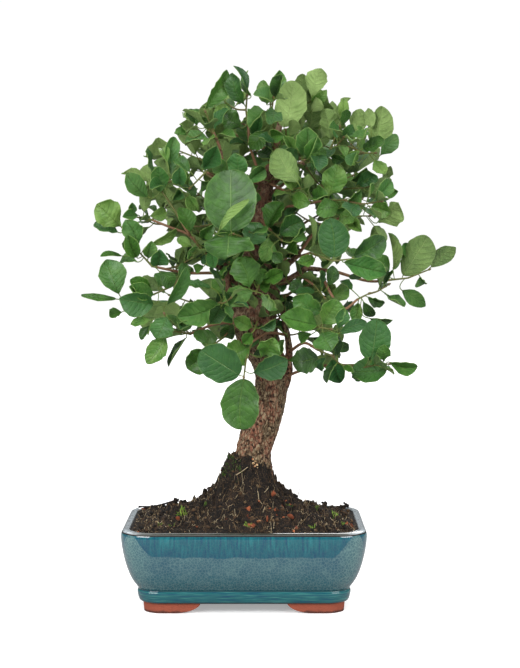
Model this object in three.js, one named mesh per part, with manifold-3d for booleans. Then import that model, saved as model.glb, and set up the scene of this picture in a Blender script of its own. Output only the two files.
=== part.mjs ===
// A cork oak bonsai, standing in its mound of soil in a glazed rectangular pot.
// Millimetres, +Z up, the tree's front towards -Y. The origin is under the middle of the whole outline, on
// the surface that the pot's feet stand on.

import * as THREE from 'three';
import { mergeVertices } from 'three/addons/utils/BufferGeometryUtils.js';
import Module from 'manifold-3d';

const wasm = await Module();
wasm.setup();

// The clear space between two pieces that touch
const GAP = 0.35;

// The pot: half sizes at the widest, then its outline from the underside over the lip and down the inside.
// Each ring is [height, how far it stands in from the widest].
const POT_HALF_LENGTH = 101.6;
const POT_HALF_DEPTH = 75;
const POT_CORNER = { widest: 27, tighter: 0.6, least: 8, steps: 4 };
const POT_HEIGHT = 68.1;
const FOOT_HEIGHT = 8;
const FLOOR_TOP = 15;
const POT_OUTSIDE = [
  [FOOT_HEIGHT, 17.4],
  [10, 15],
  [16.6, 13.4],
  [18.9, 14.4],
  [20.7, 13.3],
  [27.1, 9],
  [36.1, 5.2],
  [48.1, 2],
  [60.1, 0.2],
  [65.9, 0.5],
  [POT_HEIGHT, 2.8],
];
const POT_INSIDE = [
  [67.9, 6],
  [64.1, 7.6],
  [32, 13.5],
  [19.5, 19],
  [FLOOR_TOP, 25],
];
const FOOT_RING = { top: 9, insetTop: 18, insetBottom: 18.8, width: 15 };
const FOOT_ARCHES = { lengthwise: { flatEnd: 58, archEnd: 35 }, depthwise: { flatEnd: 42, archEnd: 27 } };
const FOOT_ARC_STEPS = 5;
const DRAIN = { across: 45, radius: 7, sides: 14, screenSide: 22, screenThickness: 1, holes: 2, holeSide: 6 };

// The soil: a level bed near the lip that climbs steeply to the foot of the trunk
const SOIL = {
  middle: new THREE.Vector3(2.5, 1, 0),
  atWall: 63.6,
  bed: 13,
  bedReach: 92,
  peak: 47,
  peakFoot: 16,
  peakWidth: 12,
  peakPower: 1.7,
  lump: 1.5,
  climb: 2.2,
};
const SOIL_RINGS = [0.14, 0.36, 0.56, 0.7, 0.8, 0.89];

// Places on the tree are read in its front view as [across, down, depth]: steps of STEP millimetres across
// and down, seen from EYE, and millimetres behind the middle of the pot.
const STEP = 0.854;
const EYE = { distance: 1400, height: 303.1, across: 13.2, acrossStep: 260, downStep: 243.7 };

// The trunk: [across, down, depth, radius], from its buried foot to its top
const TRUNK_SIDES = 11;
const TRUNK_STEPS = 23;
const BARK_DEPTH = 0.06;
const BARK_SEED = 7;
const TRUNK = [
  [253, 546, 2, 19],
  [253, 525, 2, 25],
  [253, 495, 2, 21],
  [253, 470, 1, 17],
  [254.5, 447, 0, 15.2],
  [260.5, 427, 0, 15.6],
  [268, 402, 0, 15],
  [271.5, 380, 0, 13.8],
  [267.5, 358, 0, 14.5],
  [258, 336, 0, 18],
  [256, 318, 0, 19],
  [263, 300, 0, 14],
  [266, 284, 0, 12],
  [257, 264, 0, 10],
  [253, 246, 0, 9],
  [257, 225, 0, 8],
  [262, 207, 0, 7.4],
  [265, 190, 0, 7],
  [268, 176, 0, 5.4],
  [275, 155, 2, 4],
  [278, 132, 2, 3],
  [283, 112, 4, 1.9],
];

// Limbs that carry no leaves themselves: a path and the radius at its two ends
const LIMB_SIDES = 6;
const TWIG_SIDES = 3;
const TWIG_RADII = { front: 1.8, back: 2.6 };
const LIMBS = {
  burl: { path: [[256, 324, -2], [238, 323, -6], [231, 321, -8]], radii: [14, 7] },
  right_stem: {
    path: [[280, 398, 0], [288, 376, -4], [289, 352, -6], [287, 335, -6], [281, 306, -8], [272, 296, -4]],
    radii: [3.8, 2.2],
  },
  left_leader: {
    path: [[240, 322, -6], [231, 300, -12], [227, 272, -18], [226, 250, -22], [224, 200, -24],
      [223, 182, -24], [221, 150, -20]],
    radii: [3.4, 1.6],
  },
  branch_left: { path: [[256, 290, -2], [235, 281, -10], [221, 268, -16], [207, 256, -20]], radii: [3.4, 2] },
  branch_low_right: {
    path: [[262, 292, -2], [276, 286, -6], [298, 274, -12], [305, 269, -14], [320, 269.5, -22],
      [337, 272, -28]],
    radii: [3.4, 1.6],
  },
  branch_mid_right: {
    path: [[262, 282, 0], [281, 270, -8], [295, 258, -16], [300, 252, -20]],
    radii: [3, 1.9],
  },
  branch_top_right: {
    path: [[266, 190, 0], [278, 178, -2], [296, 166, -6], [315, 158, -10], [335, 150, -16]],
    radii: [3.2, 1.5],
  },
};

// Leafy shoots on the front. Each has the path from the wood that it grows on to its tip, the step of the
// path where the wood ends and the green shoot starts, and its leaves.
// A leaf is [across and down of the blade's foot, across and down of its tip, width in steps, how far the
// tip lies behind the foot in millimetres, how far the blade is rolled about its rib in degrees]. At 0
// degrees the upper face looks to the front, and at 180 the underside does.
const FRONT_SPRAYS = {
  left_shoulder: {
    path: [[221, 150, -20], [213, 131, -24], [206, 113, -28]],
    green: 1,
    leaves: [
      [204, 110, 230, 73, 20, -4, 35],
      [210, 133, 225, 105, 17, -6, 15],
      [198, 131, 193, 110, 15, 4, 0],
      [196, 143, 204, 118, 14, -4, 30],
      [195, 145, 181, 127, 13, 6, -20],
    ],
  },
  top_left: {
    path: [[265, 188, 0], [251, 150, -12], [248, 126, -18], [246, 110, -22], [247, 97, -22]],
    green: 2,
    leaves: [
      [246, 108, 231, 76, 17, -4, -25],
      [248, 96, 238, 66, 11, 0, 50],
      [251, 96, 246, 71, 10, 4, -40],
      [241, 128, 224, 114, 19, -10, 10],
      [252, 140, 247, 121, 17, -10, 0],
    ],
  },
  top_middle: {
    path: [[275, 155, 2], [274, 128, -10], [271, 112, -16], [270, 100, -16]],
    green: 1,
    leaves: [
      [271, 106, 281, 72, 17, 2, 20],
      [267, 106, 262, 83, 15, -6, -20],
      [264, 138, 282, 136, 14, -12, 10],
      [264, 130, 250, 148, 16, -14, 0],
    ],
  },
  top_pale: {
    path: [[278, 134, 2], [286, 139, -18], [286, 131, -28]],
    green: 1,
    leaves: [
      [284, 127, 293, 83, 29, 8, 180],
      [290, 136, 299, 121, 13, -4, 160],
    ],
  },
  top_right: {
    path: [[283, 114, 4], [297, 109, -2], [309, 102, -8]],
    green: 1,
    leaves: [
      [303, 100, 303, 75, 14, 4, 160],
      [312, 98, 321, 70, 20, 4, 178],
      [313, 106, 326, 92, 13, -6, 20],
      [309, 116, 318, 99, 14, -6, 165],
      [304, 124, 296, 108, 12, 0, 30],
    ],
  },
  top_front: {
    path: [[275, 155, 2], [292, 160, -30], [304, 160, -50]],
    green: 1,
    leaves: [
      [302, 157, 308, 129, 27, -4, 8],
      [307, 160, 315, 137, 10, -8, -40],
      [299, 165, 285, 150, 12, -6, 20],
      [310, 162, 325, 150, 14, 4, 0],
    ],
  },
  pale_middle: {
    path: [[267, 182, 0], [285, 191, -30], [299, 188, -54]],
    green: 1,
    leaves: [
      [299, 184, 277, 151, 26, 6, 180],
      [297, 192, 282, 172, 18, -10, 12],
      [291, 194, 275, 195, 10, -6, 60],
      [292, 200, 309, 203, 16, -10, 15],
      [304, 189, 309, 176, 10, -4, 170],
    ],
  },
  right_red_branch: {
    path: [[263, 200, 0], [285, 206, -20], [306, 204, -32], [322, 201, -38], [344, 200, -44]],
    green: 3,
    leaves: [
      [329, 196, 337, 167, 23, -8, 5],
      [347, 203, 360, 192, 13, -6, 20],
      [341, 208, 319, 211, 18, -8, 8],
      [350, 199, 364, 206, 12, -4, 150],
    ],
  },
  right_crown: {
    path: [[315, 158, -10], [330, 150, -20], [339, 128, -24]],
    green: 1,
    leaves: [
      [331, 139, 326, 110, 20, 2, 172],
      [341, 119, 344, 99, 11, 2, 0],
      [342, 126, 346, 110, 12, -4, 30],
      [328, 168, 347, 160, 13, -8, 150],
      [343, 140, 352, 126, 12, -6, 10],
    ],
  },
  right_crown_outer: {
    path: [[335, 150, -16], [350, 147, -24], [364, 153, -30], [374, 153, -30]],
    green: 1,
    leaves: [
      [352, 134, 361, 110, 18, 0, 162],
      [375, 149, 383, 109, 26, 4, 176],
      [371, 128, 369, 109, 12, 4, 150],
      [378, 158, 397, 136, 17, 0, 20],
      [361, 158, 363, 127, 14, 2, 76],
      [364, 169, 348, 155, 16, -6, 20],
      [374, 160, 385, 172, 13, -6, 0],
    ],
  },
  right_middle: {
    path: [[263, 196, 4], [300, 190, 2], [335, 189, -4], [362, 188, -8], [382, 184, -8]],
    green: 2,
    leaves: [
      [382, 179, 391, 167, 11, 0, 150],
      [364, 193, 391, 181, 18, -2, 160],
      [386, 186, 398, 191, 14, 0, 20],
      [355, 186, 376, 177, 15, -8, 10],
      [352, 180, 366, 168, 14, -4, 25],
    ],
  },
  right_middle_low: {
    path: [[300, 252, -20], [319, 228, -26], [345, 216, -30], [368, 216, -28]],
    green: 2,
    leaves: [
      [363, 203, 389, 213, 17, -4, 10],
      [376, 224, 399, 205, 27, -2, 150],
      [350, 220, 361, 231, 13, -10, 0],
      [374, 226, 386, 240, 18, 2, 165],
      [356, 212, 340, 222, 14, -12, 12],
      [352, 214, 333, 208, 15, -6, 10],
    ],
  },
  right_hanging: {
    path: [[295, 258, -16], [310, 253, -38], [333, 261, -56], [351, 259, -60]],
    green: 1,
    leaves: [
      [334, 258, 330, 220, 28, -8, 4],
      [353, 257, 384, 240, 22, -6, 8],
      [343, 262, 384, 272, 23, -8, 6],
      [315, 258, 299, 262, 12, -6, 12],
      [325, 254, 309, 248, 9, -4, 150],
      [312, 247, 310, 216, 13, 2, 80],
    ],
  },
  far_right: {
    path: [[337, 272, -28], [368, 281, -24], [390, 280, -20], [408, 278, -18], [428, 270, -16]],
    green: 2,
    leaves: [
      [393, 270, 390, 234, 15, 0, 78],
      [388, 275, 378, 255, 15, 6, 10],
      [402, 277, 427, 238, 29, -6, 158],
      [431, 267, 455, 249, 17, 2, 174],
      [411, 264, 404, 244, 13, 6, 10],
      [418, 273, 424, 284, 14, 4, 20],
      [393, 284, 424, 306, 15, 0, 20],
    ],
  },
  middle_right: {
    path: [[320, 269.5, -22], [330, 292, -40], [343, 309, -45], [358, 299, -42], [368, 294, -40]],
    green: 3,
    leaves: [
      [365, 296, 384, 303, 10, 0, 30],
      [363, 301, 373, 317, 11, 2, 15],
      [358, 303, 356, 324, 12, -6, 20],
      [352, 290, 341, 280, 9, 4, 40],
      [368, 318, 392, 321, 9, 0, 30],
    ],
  },
  right_low: {
    path: [[287, 376, -4], [300, 371, -18], [320, 366, -32], [347, 365, -40], [372, 364, -42],
      [388, 364, -42]],
    green: 3,
    leaves: [
      [371, 360, 377, 321, 30, -8, 4],
      [383, 364, 384, 347, 13, -14, 8],
      [389, 370, 354, 371, 24, -8, 10],
      [389, 362, 417, 367, 16, 0, 15],
      [352, 370, 358, 382, 7, 0, 60],
    ],
  },
  right_low_inner: {
    path: [[289, 352, -6], [304, 343, -22], [318, 350, -36], [332, 356, -44]],
    green: 2,
    leaves: [
      [332, 359, 340, 382, 21, -6, 8],
      [318, 358, 294, 363, 24, -6, 5],
      [337, 351, 348, 344, 11, -4, 20],
      [325, 357, 321, 371, 12, 0, 30],
    ],
  },
  cluster_right: {
    path: [[281, 306, -8], [300, 318, -40], [317, 327, -58], [330, 329, -64]],
    green: 2,
    leaves: [
      [320, 326, 282, 317, 23, -10, 6],
      [321, 312, 294, 299, 21, -6, -10],
      [322, 326, 338, 302, 24, -8, 8],
      [322, 330, 331, 348, 25, -16, 6],
      [337, 332, 344, 309, 14, -4, 20],
      [340, 333, 366, 324, 13, -4, 30],
      [312, 334, 300, 341, 12, 4, 20],
    ],
  },
  middle_right_inner: {
    path: [[298, 274, -12], [314, 285, -30], [324, 297, -40]],
    green: 1,
    leaves: [
      [306, 296, 292, 282, 14, -4, 10],
      [317, 292, 297, 290, 12, -8, 50],
      [322, 290, 321, 271, 11, 0, 60],
      [330, 298, 349, 284, 15, 0, 12],
      [328, 286, 333, 267, 12, -6, 12],
      [320, 303, 306, 309, 15, -10, 5],
    ],
  },
  centre_round: {
    path: [[255, 236, -2], [246, 238, -40], [234, 234, -76]],
    green: 1,
    leaves: [
      [231, 231, 231, 172, 47, -2, 0],
      [229, 233, 227, 256, 44, -16, 4],
      [225, 226, 246, 201, 10, -14, 62],
    ],
  },
  centre_right: {
    path: [[259, 218, 0], [272, 232, -40], [281, 240, -56]],
    green: 1,
    leaves: [
      [274, 238, 302, 222, 22, -6, 4],
      [268, 228, 281, 203, 22, -8, -8],
      [268, 237, 264, 261, 16, -8, 0],
      [290, 244, 303, 229, 13, 6, 25],
      [271, 250, 281, 262, 12, -6, 20],
    ],
  },
  left_leader_side: {
    path: [[224, 200, -24], [232, 188, -40], [240, 181, -48]],
    green: 1,
    leaves: [
      [236, 180, 236, 154, 19, -4, 0],
      [246, 183, 265, 169, 16, -4, 10],
      [228, 178, 218, 160, 14, 0, -20],
      [243, 190, 258, 200, 14, 4, 10],
    ],
  },
  left_upper: {
    path: [[223, 182, -24], [206, 172, -42], [191, 187, -50]],
    green: 1,
    leaves: [
      [203, 169, 216, 146, 20, -6, 8],
      [181, 190, 180, 169, 15, -4, 10],
      [192, 196, 185, 172, 14, -8, -15],
      [197, 178, 209, 186, 13, -4, 20],
      [188, 196, 197, 210, 13, -6, 10],
      [190, 172, 176, 160, 12, 4, 20],
    ],
  },
  left_outer_upper: {
    path: [[190, 236, -28], [177, 214, -34], [166, 197, -34], [157, 185, -32]],
    green: 1,
    leaves: [
      [160, 195, 158, 167, 17, -8, 8],
      [150, 199, 128, 175, 19, -4, 5],
      [153, 184, 124, 170, 14, 2, 135],
      [152, 178, 147, 148, 12, 4, 72],
      [171, 175, 174, 138, 15, 2, 10],
      [167, 162, 161, 147, 10, 4, 20],
      [170, 203, 180, 192, 12, 0, 10],
    ],
  },
  left_outer_middle: {
    path: [[207, 256, -20], [190, 236, -28], [172, 228, -32], [152, 220, -34], [136, 217, -34],
      [124, 226, -32]],
    green: 3,
    leaves: [
      [121, 227, 97, 205, 26, -4, 5],
      [120, 233, 95, 223, 15, 6, 45],
      [129, 214, 132, 203, 9, 2, 20],
      [141, 215, 123, 217, 12, -6, 20],
      [150, 216, 166, 211, 13, -2, 20],
      [144, 212, 150, 186, 12, -4, 172],
      [126, 235, 136, 250, 17, -8, 5],
    ],
  },
  left_outer_low: {
    path: [[227, 273, -18], [206, 273, -26], [188, 273, -33], [170, 270, -38], [152, 266, -42],
      [139, 252, -42]],
    green: 4,
    leaves: [
      [138, 260, 128, 238, 16, -10, 8],
      [147, 262, 152, 243, 14, -6, 15],
      [138, 246, 126, 221, 20, 2, 10],
      [157, 268, 159, 250, 18, -2, 10],
      [122, 256, 102, 254, 8, 0, 30],
      [138, 262, 118, 262, 11, 2, 40],
      [150, 244, 177, 231, 11, 4, 30],
      [160, 272, 172, 286, 15, -6, 5],
    ],
  },
  left_low_outer: {
    path: [[188, 273, -33], [170, 287, -42], [150, 296, -46], [124, 299, -44]],
    green: 1,
    leaves: [
      [119, 294, 108, 261, 26, 0, 10],
      [116, 299, 82, 294, 7, 0, 30],
      [122, 312, 110, 317, 11, 2, 20],
      [164, 306, 121, 299, 26, -12, -12],
      [160, 297, 130, 287, 17, -6, 15],
      [150, 292, 131, 280, 17, 0, 10],
      [157, 290, 166, 275, 16, -4, 10],
      [178, 276, 187, 264, 14, 2, 10],
    ],
  },
  left_low: {
    path: [[232, 322, -8], [212, 325, -26], [190, 334, -42], [173, 331, -50], [165, 315, -54]],
    green: 2,
    leaves: [
      [171, 307, 157, 336, 22, -8, 12],
      [165, 336, 147, 362, 19, -2, 10],
      [151, 325, 141, 339, 9, 2, 30],
      [151, 320, 131, 324, 10, 4, 40],
      [165, 306, 187, 270, 14, -8, 42],
      [186, 338, 166, 363, 9, 2, 60],
      [178, 326, 192, 320, 12, 0, 20],
    ],
  },
  left_middle: {
    path: [[231, 300, -12], [226, 297, -32], [219, 303, -50]],
    green: 1,
    leaves: [
      [221, 303, 180, 316, 26, -6, -8],
      [211, 288, 184, 282, 11, 4, 55],
      [224, 292, 213, 281, 14, -4, 10],
      [222, 310, 232, 322, 13, -4, 10],
    ],
  },
  left_middle_upper: {
    path: [[207, 256, -20], [200, 247, -36], [195, 239, -42]],
    green: 1,
    leaves: [
      [191, 232, 180, 209, 16, -4, 10],
      [191, 246, 178, 238, 10, 0, 20],
      [200, 259, 189, 251, 14, -4, 10],
      [204, 266, 196, 272, 10, 4, 20],
      [210, 252, 213, 269, 13, -8, 15],
      [202, 238, 213, 226, 14, -6, 10],
    ],
  },
  centre_low: {
    path: [[287, 335, -6], [268, 333, -26], [252, 342, -42], [246, 360, -54], [244, 376, -60]],
    green: 2,
    leaves: [
      [239, 375, 202, 353, 36, -6, -10],
      [244, 379, 241, 428, 34, 2, 2],
      [253, 373, 286, 361, 24, -4, 8],
      [252, 346, 228, 358, 25, -8, 8],
      [262, 357, 273, 339, 22, -8, 5],
    ],
  },
  centre_low_left: {
    path: [[238, 325, -10], [224, 337, -32], [212, 346, -44]],
    green: 1,
    leaves: [
      [210, 350, 189, 369, 27, -2, -15],
      [221, 338, 202, 341, 17, -4, 20],
      [206, 344, 196, 331, 11, 2, 20],
    ],
  },
  centre_middle: {
    path: [[263, 284, -6], [258, 287, -30], [256, 293, -46]],
    green: 1,
    leaves: [
      [254, 291, 224, 302, 19, -6, 8],
      [249, 288, 238, 259, 27, -6, 5],
      [257, 288, 262, 269, 15, -8, 10],
      [263, 281, 282, 272, 17, -4, 5],
      [262, 294, 278, 309, 15, -4, 35],
      [252, 278, 248, 262, 15, 8, -10],
    ],
  },
  centre_front: {
    path: [[259, 262, -2], [253, 256, -24], [247, 248, -36]],
    green: 1,
    leaves: [
      [248, 246, 259, 224, 23, -4, 5],
      [244, 250, 227, 262, 18, -4, 10],
      [252, 253, 246, 270, 15, -6, 10],
    ],
  },
  centre_star: {
    path: [[258, 318, -10], [257, 322, -32], [255, 328, -44]],
    green: 1,
    leaves: [
      [253, 328, 235, 319, 15, -6, 10],
      [257, 329, 275, 320, 12, -6, 25],
      [252, 333, 243, 343, 13, -2, 10],
    ],
  },
};

// Leafy shoots on the sides and the back. They follow one rule: they climb the trunk by the golden angle and
// reach for the crown's outline, an ellipsoid, with seeded draws for what varies.
const CROWN = { centre: [8, 4, 312], reach: [128, 100, 116] };
const BACK_SPRAYS = {
  count: 19,
  lowest: 226,
  highest: 398,
  turnFrom: 4,
  turnSpan: 172,
  turnTry: 5,
  startBelow: 14,
  riseLeast: 6,
  riseDraw: 26,
  leastLevel: 0.08,
  fill: [0.74, 0.5, 0.74],
  elbowAt: 0.35,
  elbowDrop: 4,
  woodShare: 0.62,
  seed: 811,
};
const BACK_LEAVES = {
  count: 5,
  length: 35,
  lengthLeast: 0.72,
  lengthDraw: 0.5,
  shorterTry: 0.03,
  widthLeast: 0.76,
  widthDraw: 0.16,
  rootFrom: 0.14,
  rootSpan: 0.84,
  stalkShare: 0.1,
  turnDraw: 40,
  turnTry: 31,
  spreadFirst: 72,
  spreadFall: 26,
  spreadLast: 18,
  spreadDraw: 14,
  faceUp: 0.9,
  faceOut: 0.35,
  rollDraw: 50,
};
const GOLDEN_ANGLE = 137.508;
const GOLDEN_SHARE = 0.618034;

// View lines through the crown that stay open: [across, down, radius] in steps
const OPEN_SPOTS = [
  [312, 213, 9], [353, 240, 8], [326, 275, 6], [347, 291, 9], [352, 345, 10], [301, 342, 8], [385, 312, 10],
  [160, 224, 7], [170, 243, 9], [192, 292, 10], [178, 298, 6], [195, 330, 6], [203, 184, 5], [184, 163, 4],
  [274, 137, 4], [230, 384, 6], [296, 290, 5], [305, 262, 7], [305, 279, 8], [280, 247, 5],
];

// The crown's edge in the front view, [across, down] in steps. Leaves at the back stay within it.
const CROWN_EDGE = [
  [203, 108], [215, 75], [237, 66], [250, 85], [281, 72], [305, 72], [324, 71], [330, 95], [345, 98],
  [362, 110], [388, 108], [398, 140], [392, 165], [398, 188], [401, 215], [392, 232], [390, 240], [398, 270],
  [392, 284], [406, 300], [392, 322], [390, 345], [408, 362], [388, 384], [355, 370], [340, 382], [300, 373],
  [262, 390], [224, 392], [200, 372], [184, 352], [166, 356], [146, 358], [150, 335], [125, 322], [120, 302],
  [97, 280], [110, 262], [100, 245], [94, 218], [100, 204], [125, 200], [128, 170], [147, 150], [160, 150],
  [168, 140], [178, 130], [187, 110],
];

const OPEN_MARGIN = 0.35;

// Leaves and shoots. A blade's steps are where its outline has points, as shares of its length, and its
// middles are where its rib has them.
const BLADE_THICKNESS = 0.8;
const BLADES = {
  small: { steps: [0.22, 0.72], middles: [] },
  middle: { steps: [0.12, 0.42, 0.8], middles: [0.5] },
  large: { steps: [0.07, 0.24, 0.5, 0.76, 0.93], middles: [0.36, 0.7] },
};
const MIDDLE_FROM = 16.7;
const LARGE_FROM = 25.6;
const WIDTH_POWER = 0.55;
const WIDTH_AT_FOOT = 0.93;
const WIDTH_TOWARDS_TIP = 0.14;
const BLADE_SHAPE = { fold: [-0.04, 0.32], arch: [-0.02, 0.1], wave: [0.02, 0.03], phase: [0, 6] };
const WAVES_ALONG = 7;
const WAVES_APART = 2.4;
const PETIOLE_WIDTHS = [0.7, 1.4];
const PETIOLE_LEAST = 3;
const STALK_LEAN = 0.35;
const SHOOT_SIDES = 3;
const SHOOT_RADII = [1.35, 0.95];
const ROOT_STEPS = 24;
const FIRST_ROOT = 3;
const ROOT_SPACING = 2;
const FRONT_LEAVES = { wider: 1.08, longer: 1.04, leanDraw: 14, rollDraw: 24, rollTry: 9 };
const DEPTH_TRIES = [0, -5, 5, -10, 10, -15, 15, -20, 20, -26, 26];
const BACK_TRIES = 12;
const CROSSING_ALLOWED = 0.5;
const LEAF_SEEDS = { first: 1000, perSpray: 40 };

const COLOURS = {
  glaze: 0x2f7f86,
  soil: 0x2e221a,
  bark: 0x6e5040,
  screen: 0x22231f,
  leaf: 0x3a7434,
};

const UP = new THREE.Vector3(0, 0, 1);
const VIEW = new THREE.Vector3(0, 1, 0);

function seededDraws(seed) {
  let state = Math.imul(seed + 1, 2654435761) >>> 0;
  const draw = () => {
    state = (Math.imul(state, 1664525) + 1013904223) >>> 0;
    return state / 4294967296;
  };
  draw();
  draw();
  return draw;
}

function drawn([least, span], draw) {
  return least + span * draw();
}

function place([across, down, depth]) {
  const scale = STEP * (1 + depth / EYE.distance);
  const x = EYE.across + (across - EYE.acrossStep) * scale;
  const z = EYE.height + (EYE.downStep - down) * scale;
  return new THREE.Vector3(x, depth, z);
}

function frontView(point) {
  const scale = STEP * (1 + point.y / EYE.distance);
  return [EYE.acrossStep + (point.x - EYE.across) / scale, EYE.downStep - (point.z - EYE.height) / scale];
}

function meshGeometry(points, triangles) {
  const geometry = new THREE.BufferGeometry();
  geometry.setAttribute('position', new THREE.Float32BufferAttribute(points.flatMap((p) => p.toArray()), 3));
  geometry.setIndex(triangles);
  return geometry;
}

function solid(geometry) {
  const bare = geometry.clone();
  bare.deleteAttribute('normal');
  bare.deleteAttribute('uv');
  const merged = mergeVertices(bare, 1e-5);
  const corners = merged.index.array;
  const triVerts = [];
  for (let i = 0; i < corners.length; i += 3) {
    const [a, b, c] = corners.slice(i, i + 3);
    if (a !== b && b !== c && c !== a) triVerts.push(a, b, c);
  }
  return new wasm.Manifold(new wasm.Mesh({
    numProp: 3,
    vertProperties: merged.attributes.position.array,
    triVerts: new Uint32Array(triVerts),
  }));
}

// A closed skin over rings with equal counts of points. A ring that is a single point closes that end.
function skin(rings) {
  const points = [];
  const triangles = [];
  const starts = rings.map((ring) => points.push(...ring) - ring.length);
  for (let i = 0; i + 1 < rings.length; i += 1) {
    const count = Math.max(rings[i].length, rings[i + 1].length);
    const lower = (j) => starts[i] + (rings[i].length === 1 ? 0 : j % count);
    const upper = (j) => starts[i + 1] + (rings[i + 1].length === 1 ? 0 : j % count);
    for (let j = 0; j < count; j += 1) {
      if (rings[i].length > 1) triangles.push(lower(j), lower(j + 1), upper(j + 1));
      if (rings[i + 1].length > 1) triangles.push(lower(j), upper(j + 1), upper(j));
    }
  }
  const capped = (ring, start, flip) => {
    for (let j = 1; j + 1 < ring.length; j += 1) {
      triangles.push(start, start + (flip ? j + 1 : j), start + (flip ? j : j + 1));
    }
  };
  capped(rings[0], starts[0], true);
  capped(rings.at(-1), starts.at(-1), false);
  return meshGeometry(points, triangles);
}

// One round-cornered ring of the pot, standing in from its widest outline
function potRing(height, inset) {
  const halfLength = POT_HALF_LENGTH - inset;
  const halfDepth = POT_HALF_DEPTH - inset;
  const corner = Math.max(POT_CORNER.widest - inset * POT_CORNER.tighter, POT_CORNER.least);
  const ring = [];
  for (let quarter = 0; quarter < 4; quarter += 1) {
    const signX = quarter === 0 || quarter === 3 ? 1 : -1;
    const signY = quarter < 2 ? 1 : -1;
    for (let step = 0; step <= POT_CORNER.steps; step += 1) {
      const turn = (quarter + step / POT_CORNER.steps) * (Math.PI / 2);
      const x = signX * (halfLength - corner) + corner * Math.cos(turn);
      const y = signY * (halfDepth - corner) + corner * Math.sin(turn);
      ring.push(new THREE.Vector3(x, y, height));
    }
  }
  return ring;
}

// The arch that is cut out of the foot ring between two feet, as a bar along the other direction
function footArch({ flatEnd, archEnd }, length) {
  const outline = new THREE.Shape();
  outline.moveTo(-flatEnd, -1);
  outline.lineTo(-flatEnd, 0);
  const top = FOOT_RING.top + 1;
  for (let step = 1; step <= FOOT_ARC_STEPS; step += 1) {
    const turn = (step / FOOT_ARC_STEPS) * (Math.PI / 2);
    outline.lineTo(-flatEnd + (flatEnd - archEnd) * Math.sin(turn), top * (1 - Math.cos(turn)));
  }
  for (let step = FOOT_ARC_STEPS; step >= 1; step -= 1) {
    const turn = (step / FOOT_ARC_STEPS) * (Math.PI / 2);
    outline.lineTo(flatEnd - (flatEnd - archEnd) * Math.sin(turn), top * (1 - Math.cos(turn)));
  }
  outline.lineTo(flatEnd, 0);
  outline.lineTo(flatEnd, -1);
  const bar = new THREE.ExtrudeGeometry(outline, { depth: length, bevelEnabled: false });
  bar.translate(0, 0, -length / 2);
  bar.rotateX(Math.PI / 2);
  return bar;
}

function potSolid() {
  const profile = [...POT_OUTSIDE, ...POT_INSIDE];
  const body = solid(skin(profile.map(([height, inset]) => potRing(height, inset))));
  const outer = [potRing(0, FOOT_RING.insetBottom), potRing(FOOT_RING.top, FOOT_RING.insetTop)];
  const innerInset = FOOT_RING.insetTop + FOOT_RING.width;
  const inner = [potRing(-1, innerInset), potRing(FOOT_RING.top + 1, innerInset)];
  const lengthwise = solid(footArch(FOOT_ARCHES.lengthwise, 2 * POT_HALF_DEPTH));
  const depthwise = solid(footArch(FOOT_ARCHES.depthwise, 2 * POT_HALF_LENGTH).rotateZ(Math.PI / 2));
  const ring = solid(skin(outer)).subtract(solid(skin(inner)));
  const feet = ring.subtract(lengthwise).subtract(depthwise);
  return body.add(feet).subtract(drainHole(-1)).subtract(drainHole(1));
}

function drainHole(side) {
  const height = FLOOR_TOP - FOOT_HEIGHT + 4;
  const hole = new THREE.CylinderGeometry(DRAIN.radius, DRAIN.radius, height, DRAIN.sides);
  hole.rotateX(Math.PI / 2);
  hole.translate(side * DRAIN.across, 0, (FLOOR_TOP + FOOT_HEIGHT) / 2);
  return solid(hole);
}

function block(width, depth, height, x, y, z) {
  return solid(new THREE.BoxGeometry(width, depth, height).translate(x, y, z));
}

// The plastic net over a drain hole
function drainScreen(side) {
  const middle = FLOOR_TOP + GAP + DRAIN.screenThickness / 2;
  const pitch = DRAIN.screenSide / DRAIN.holes;
  let net = block(DRAIN.screenSide, DRAIN.screenSide, DRAIN.screenThickness, side * DRAIN.across, 0, middle);
  for (let column = 0; column < DRAIN.holes; column += 1) {
    for (let row = 0; row < DRAIN.holes; row += 1) {
      const x = side * DRAIN.across + (column + 0.5) * pitch - DRAIN.screenSide / 2;
      const y = (row + 0.5) * pitch - DRAIN.screenSide / 2;
      net = net.subtract(block(DRAIN.holeSide, DRAIN.holeSide, 3 * DRAIN.screenThickness, x, y, middle));
    }
  }
  return net;
}

function screenPocket(side) {
  const across = DRAIN.screenSide + 2 * GAP;
  const height = DRAIN.screenThickness + 2 * GAP + 1;
  return block(across, across, height, side * DRAIN.across, 0, FLOOR_TOP + height / 2 - 1 + GAP);
}

function soilHeight(x, y, share) {
  const radius = Math.hypot(x - SOIL.middle.x, y - SOIL.middle.y);
  const bed = SOIL.bed * Math.max(0, 1 - (radius / SOIL.bedReach) ** 2);
  const beyond = Math.max(0, (radius - SOIL.peakFoot) / SOIL.peakWidth);
  const peak = SOIL.peak / (1 + beyond ** SOIL.peakPower);
  const lump = SOIL.lump * share * (Math.sin(x * 0.19 + y * 0.07) + Math.sin(y * 0.23 - x * 0.11 + 2));
  return SOIL.atWall + share * (bed + peak) + lump;
}

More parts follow.
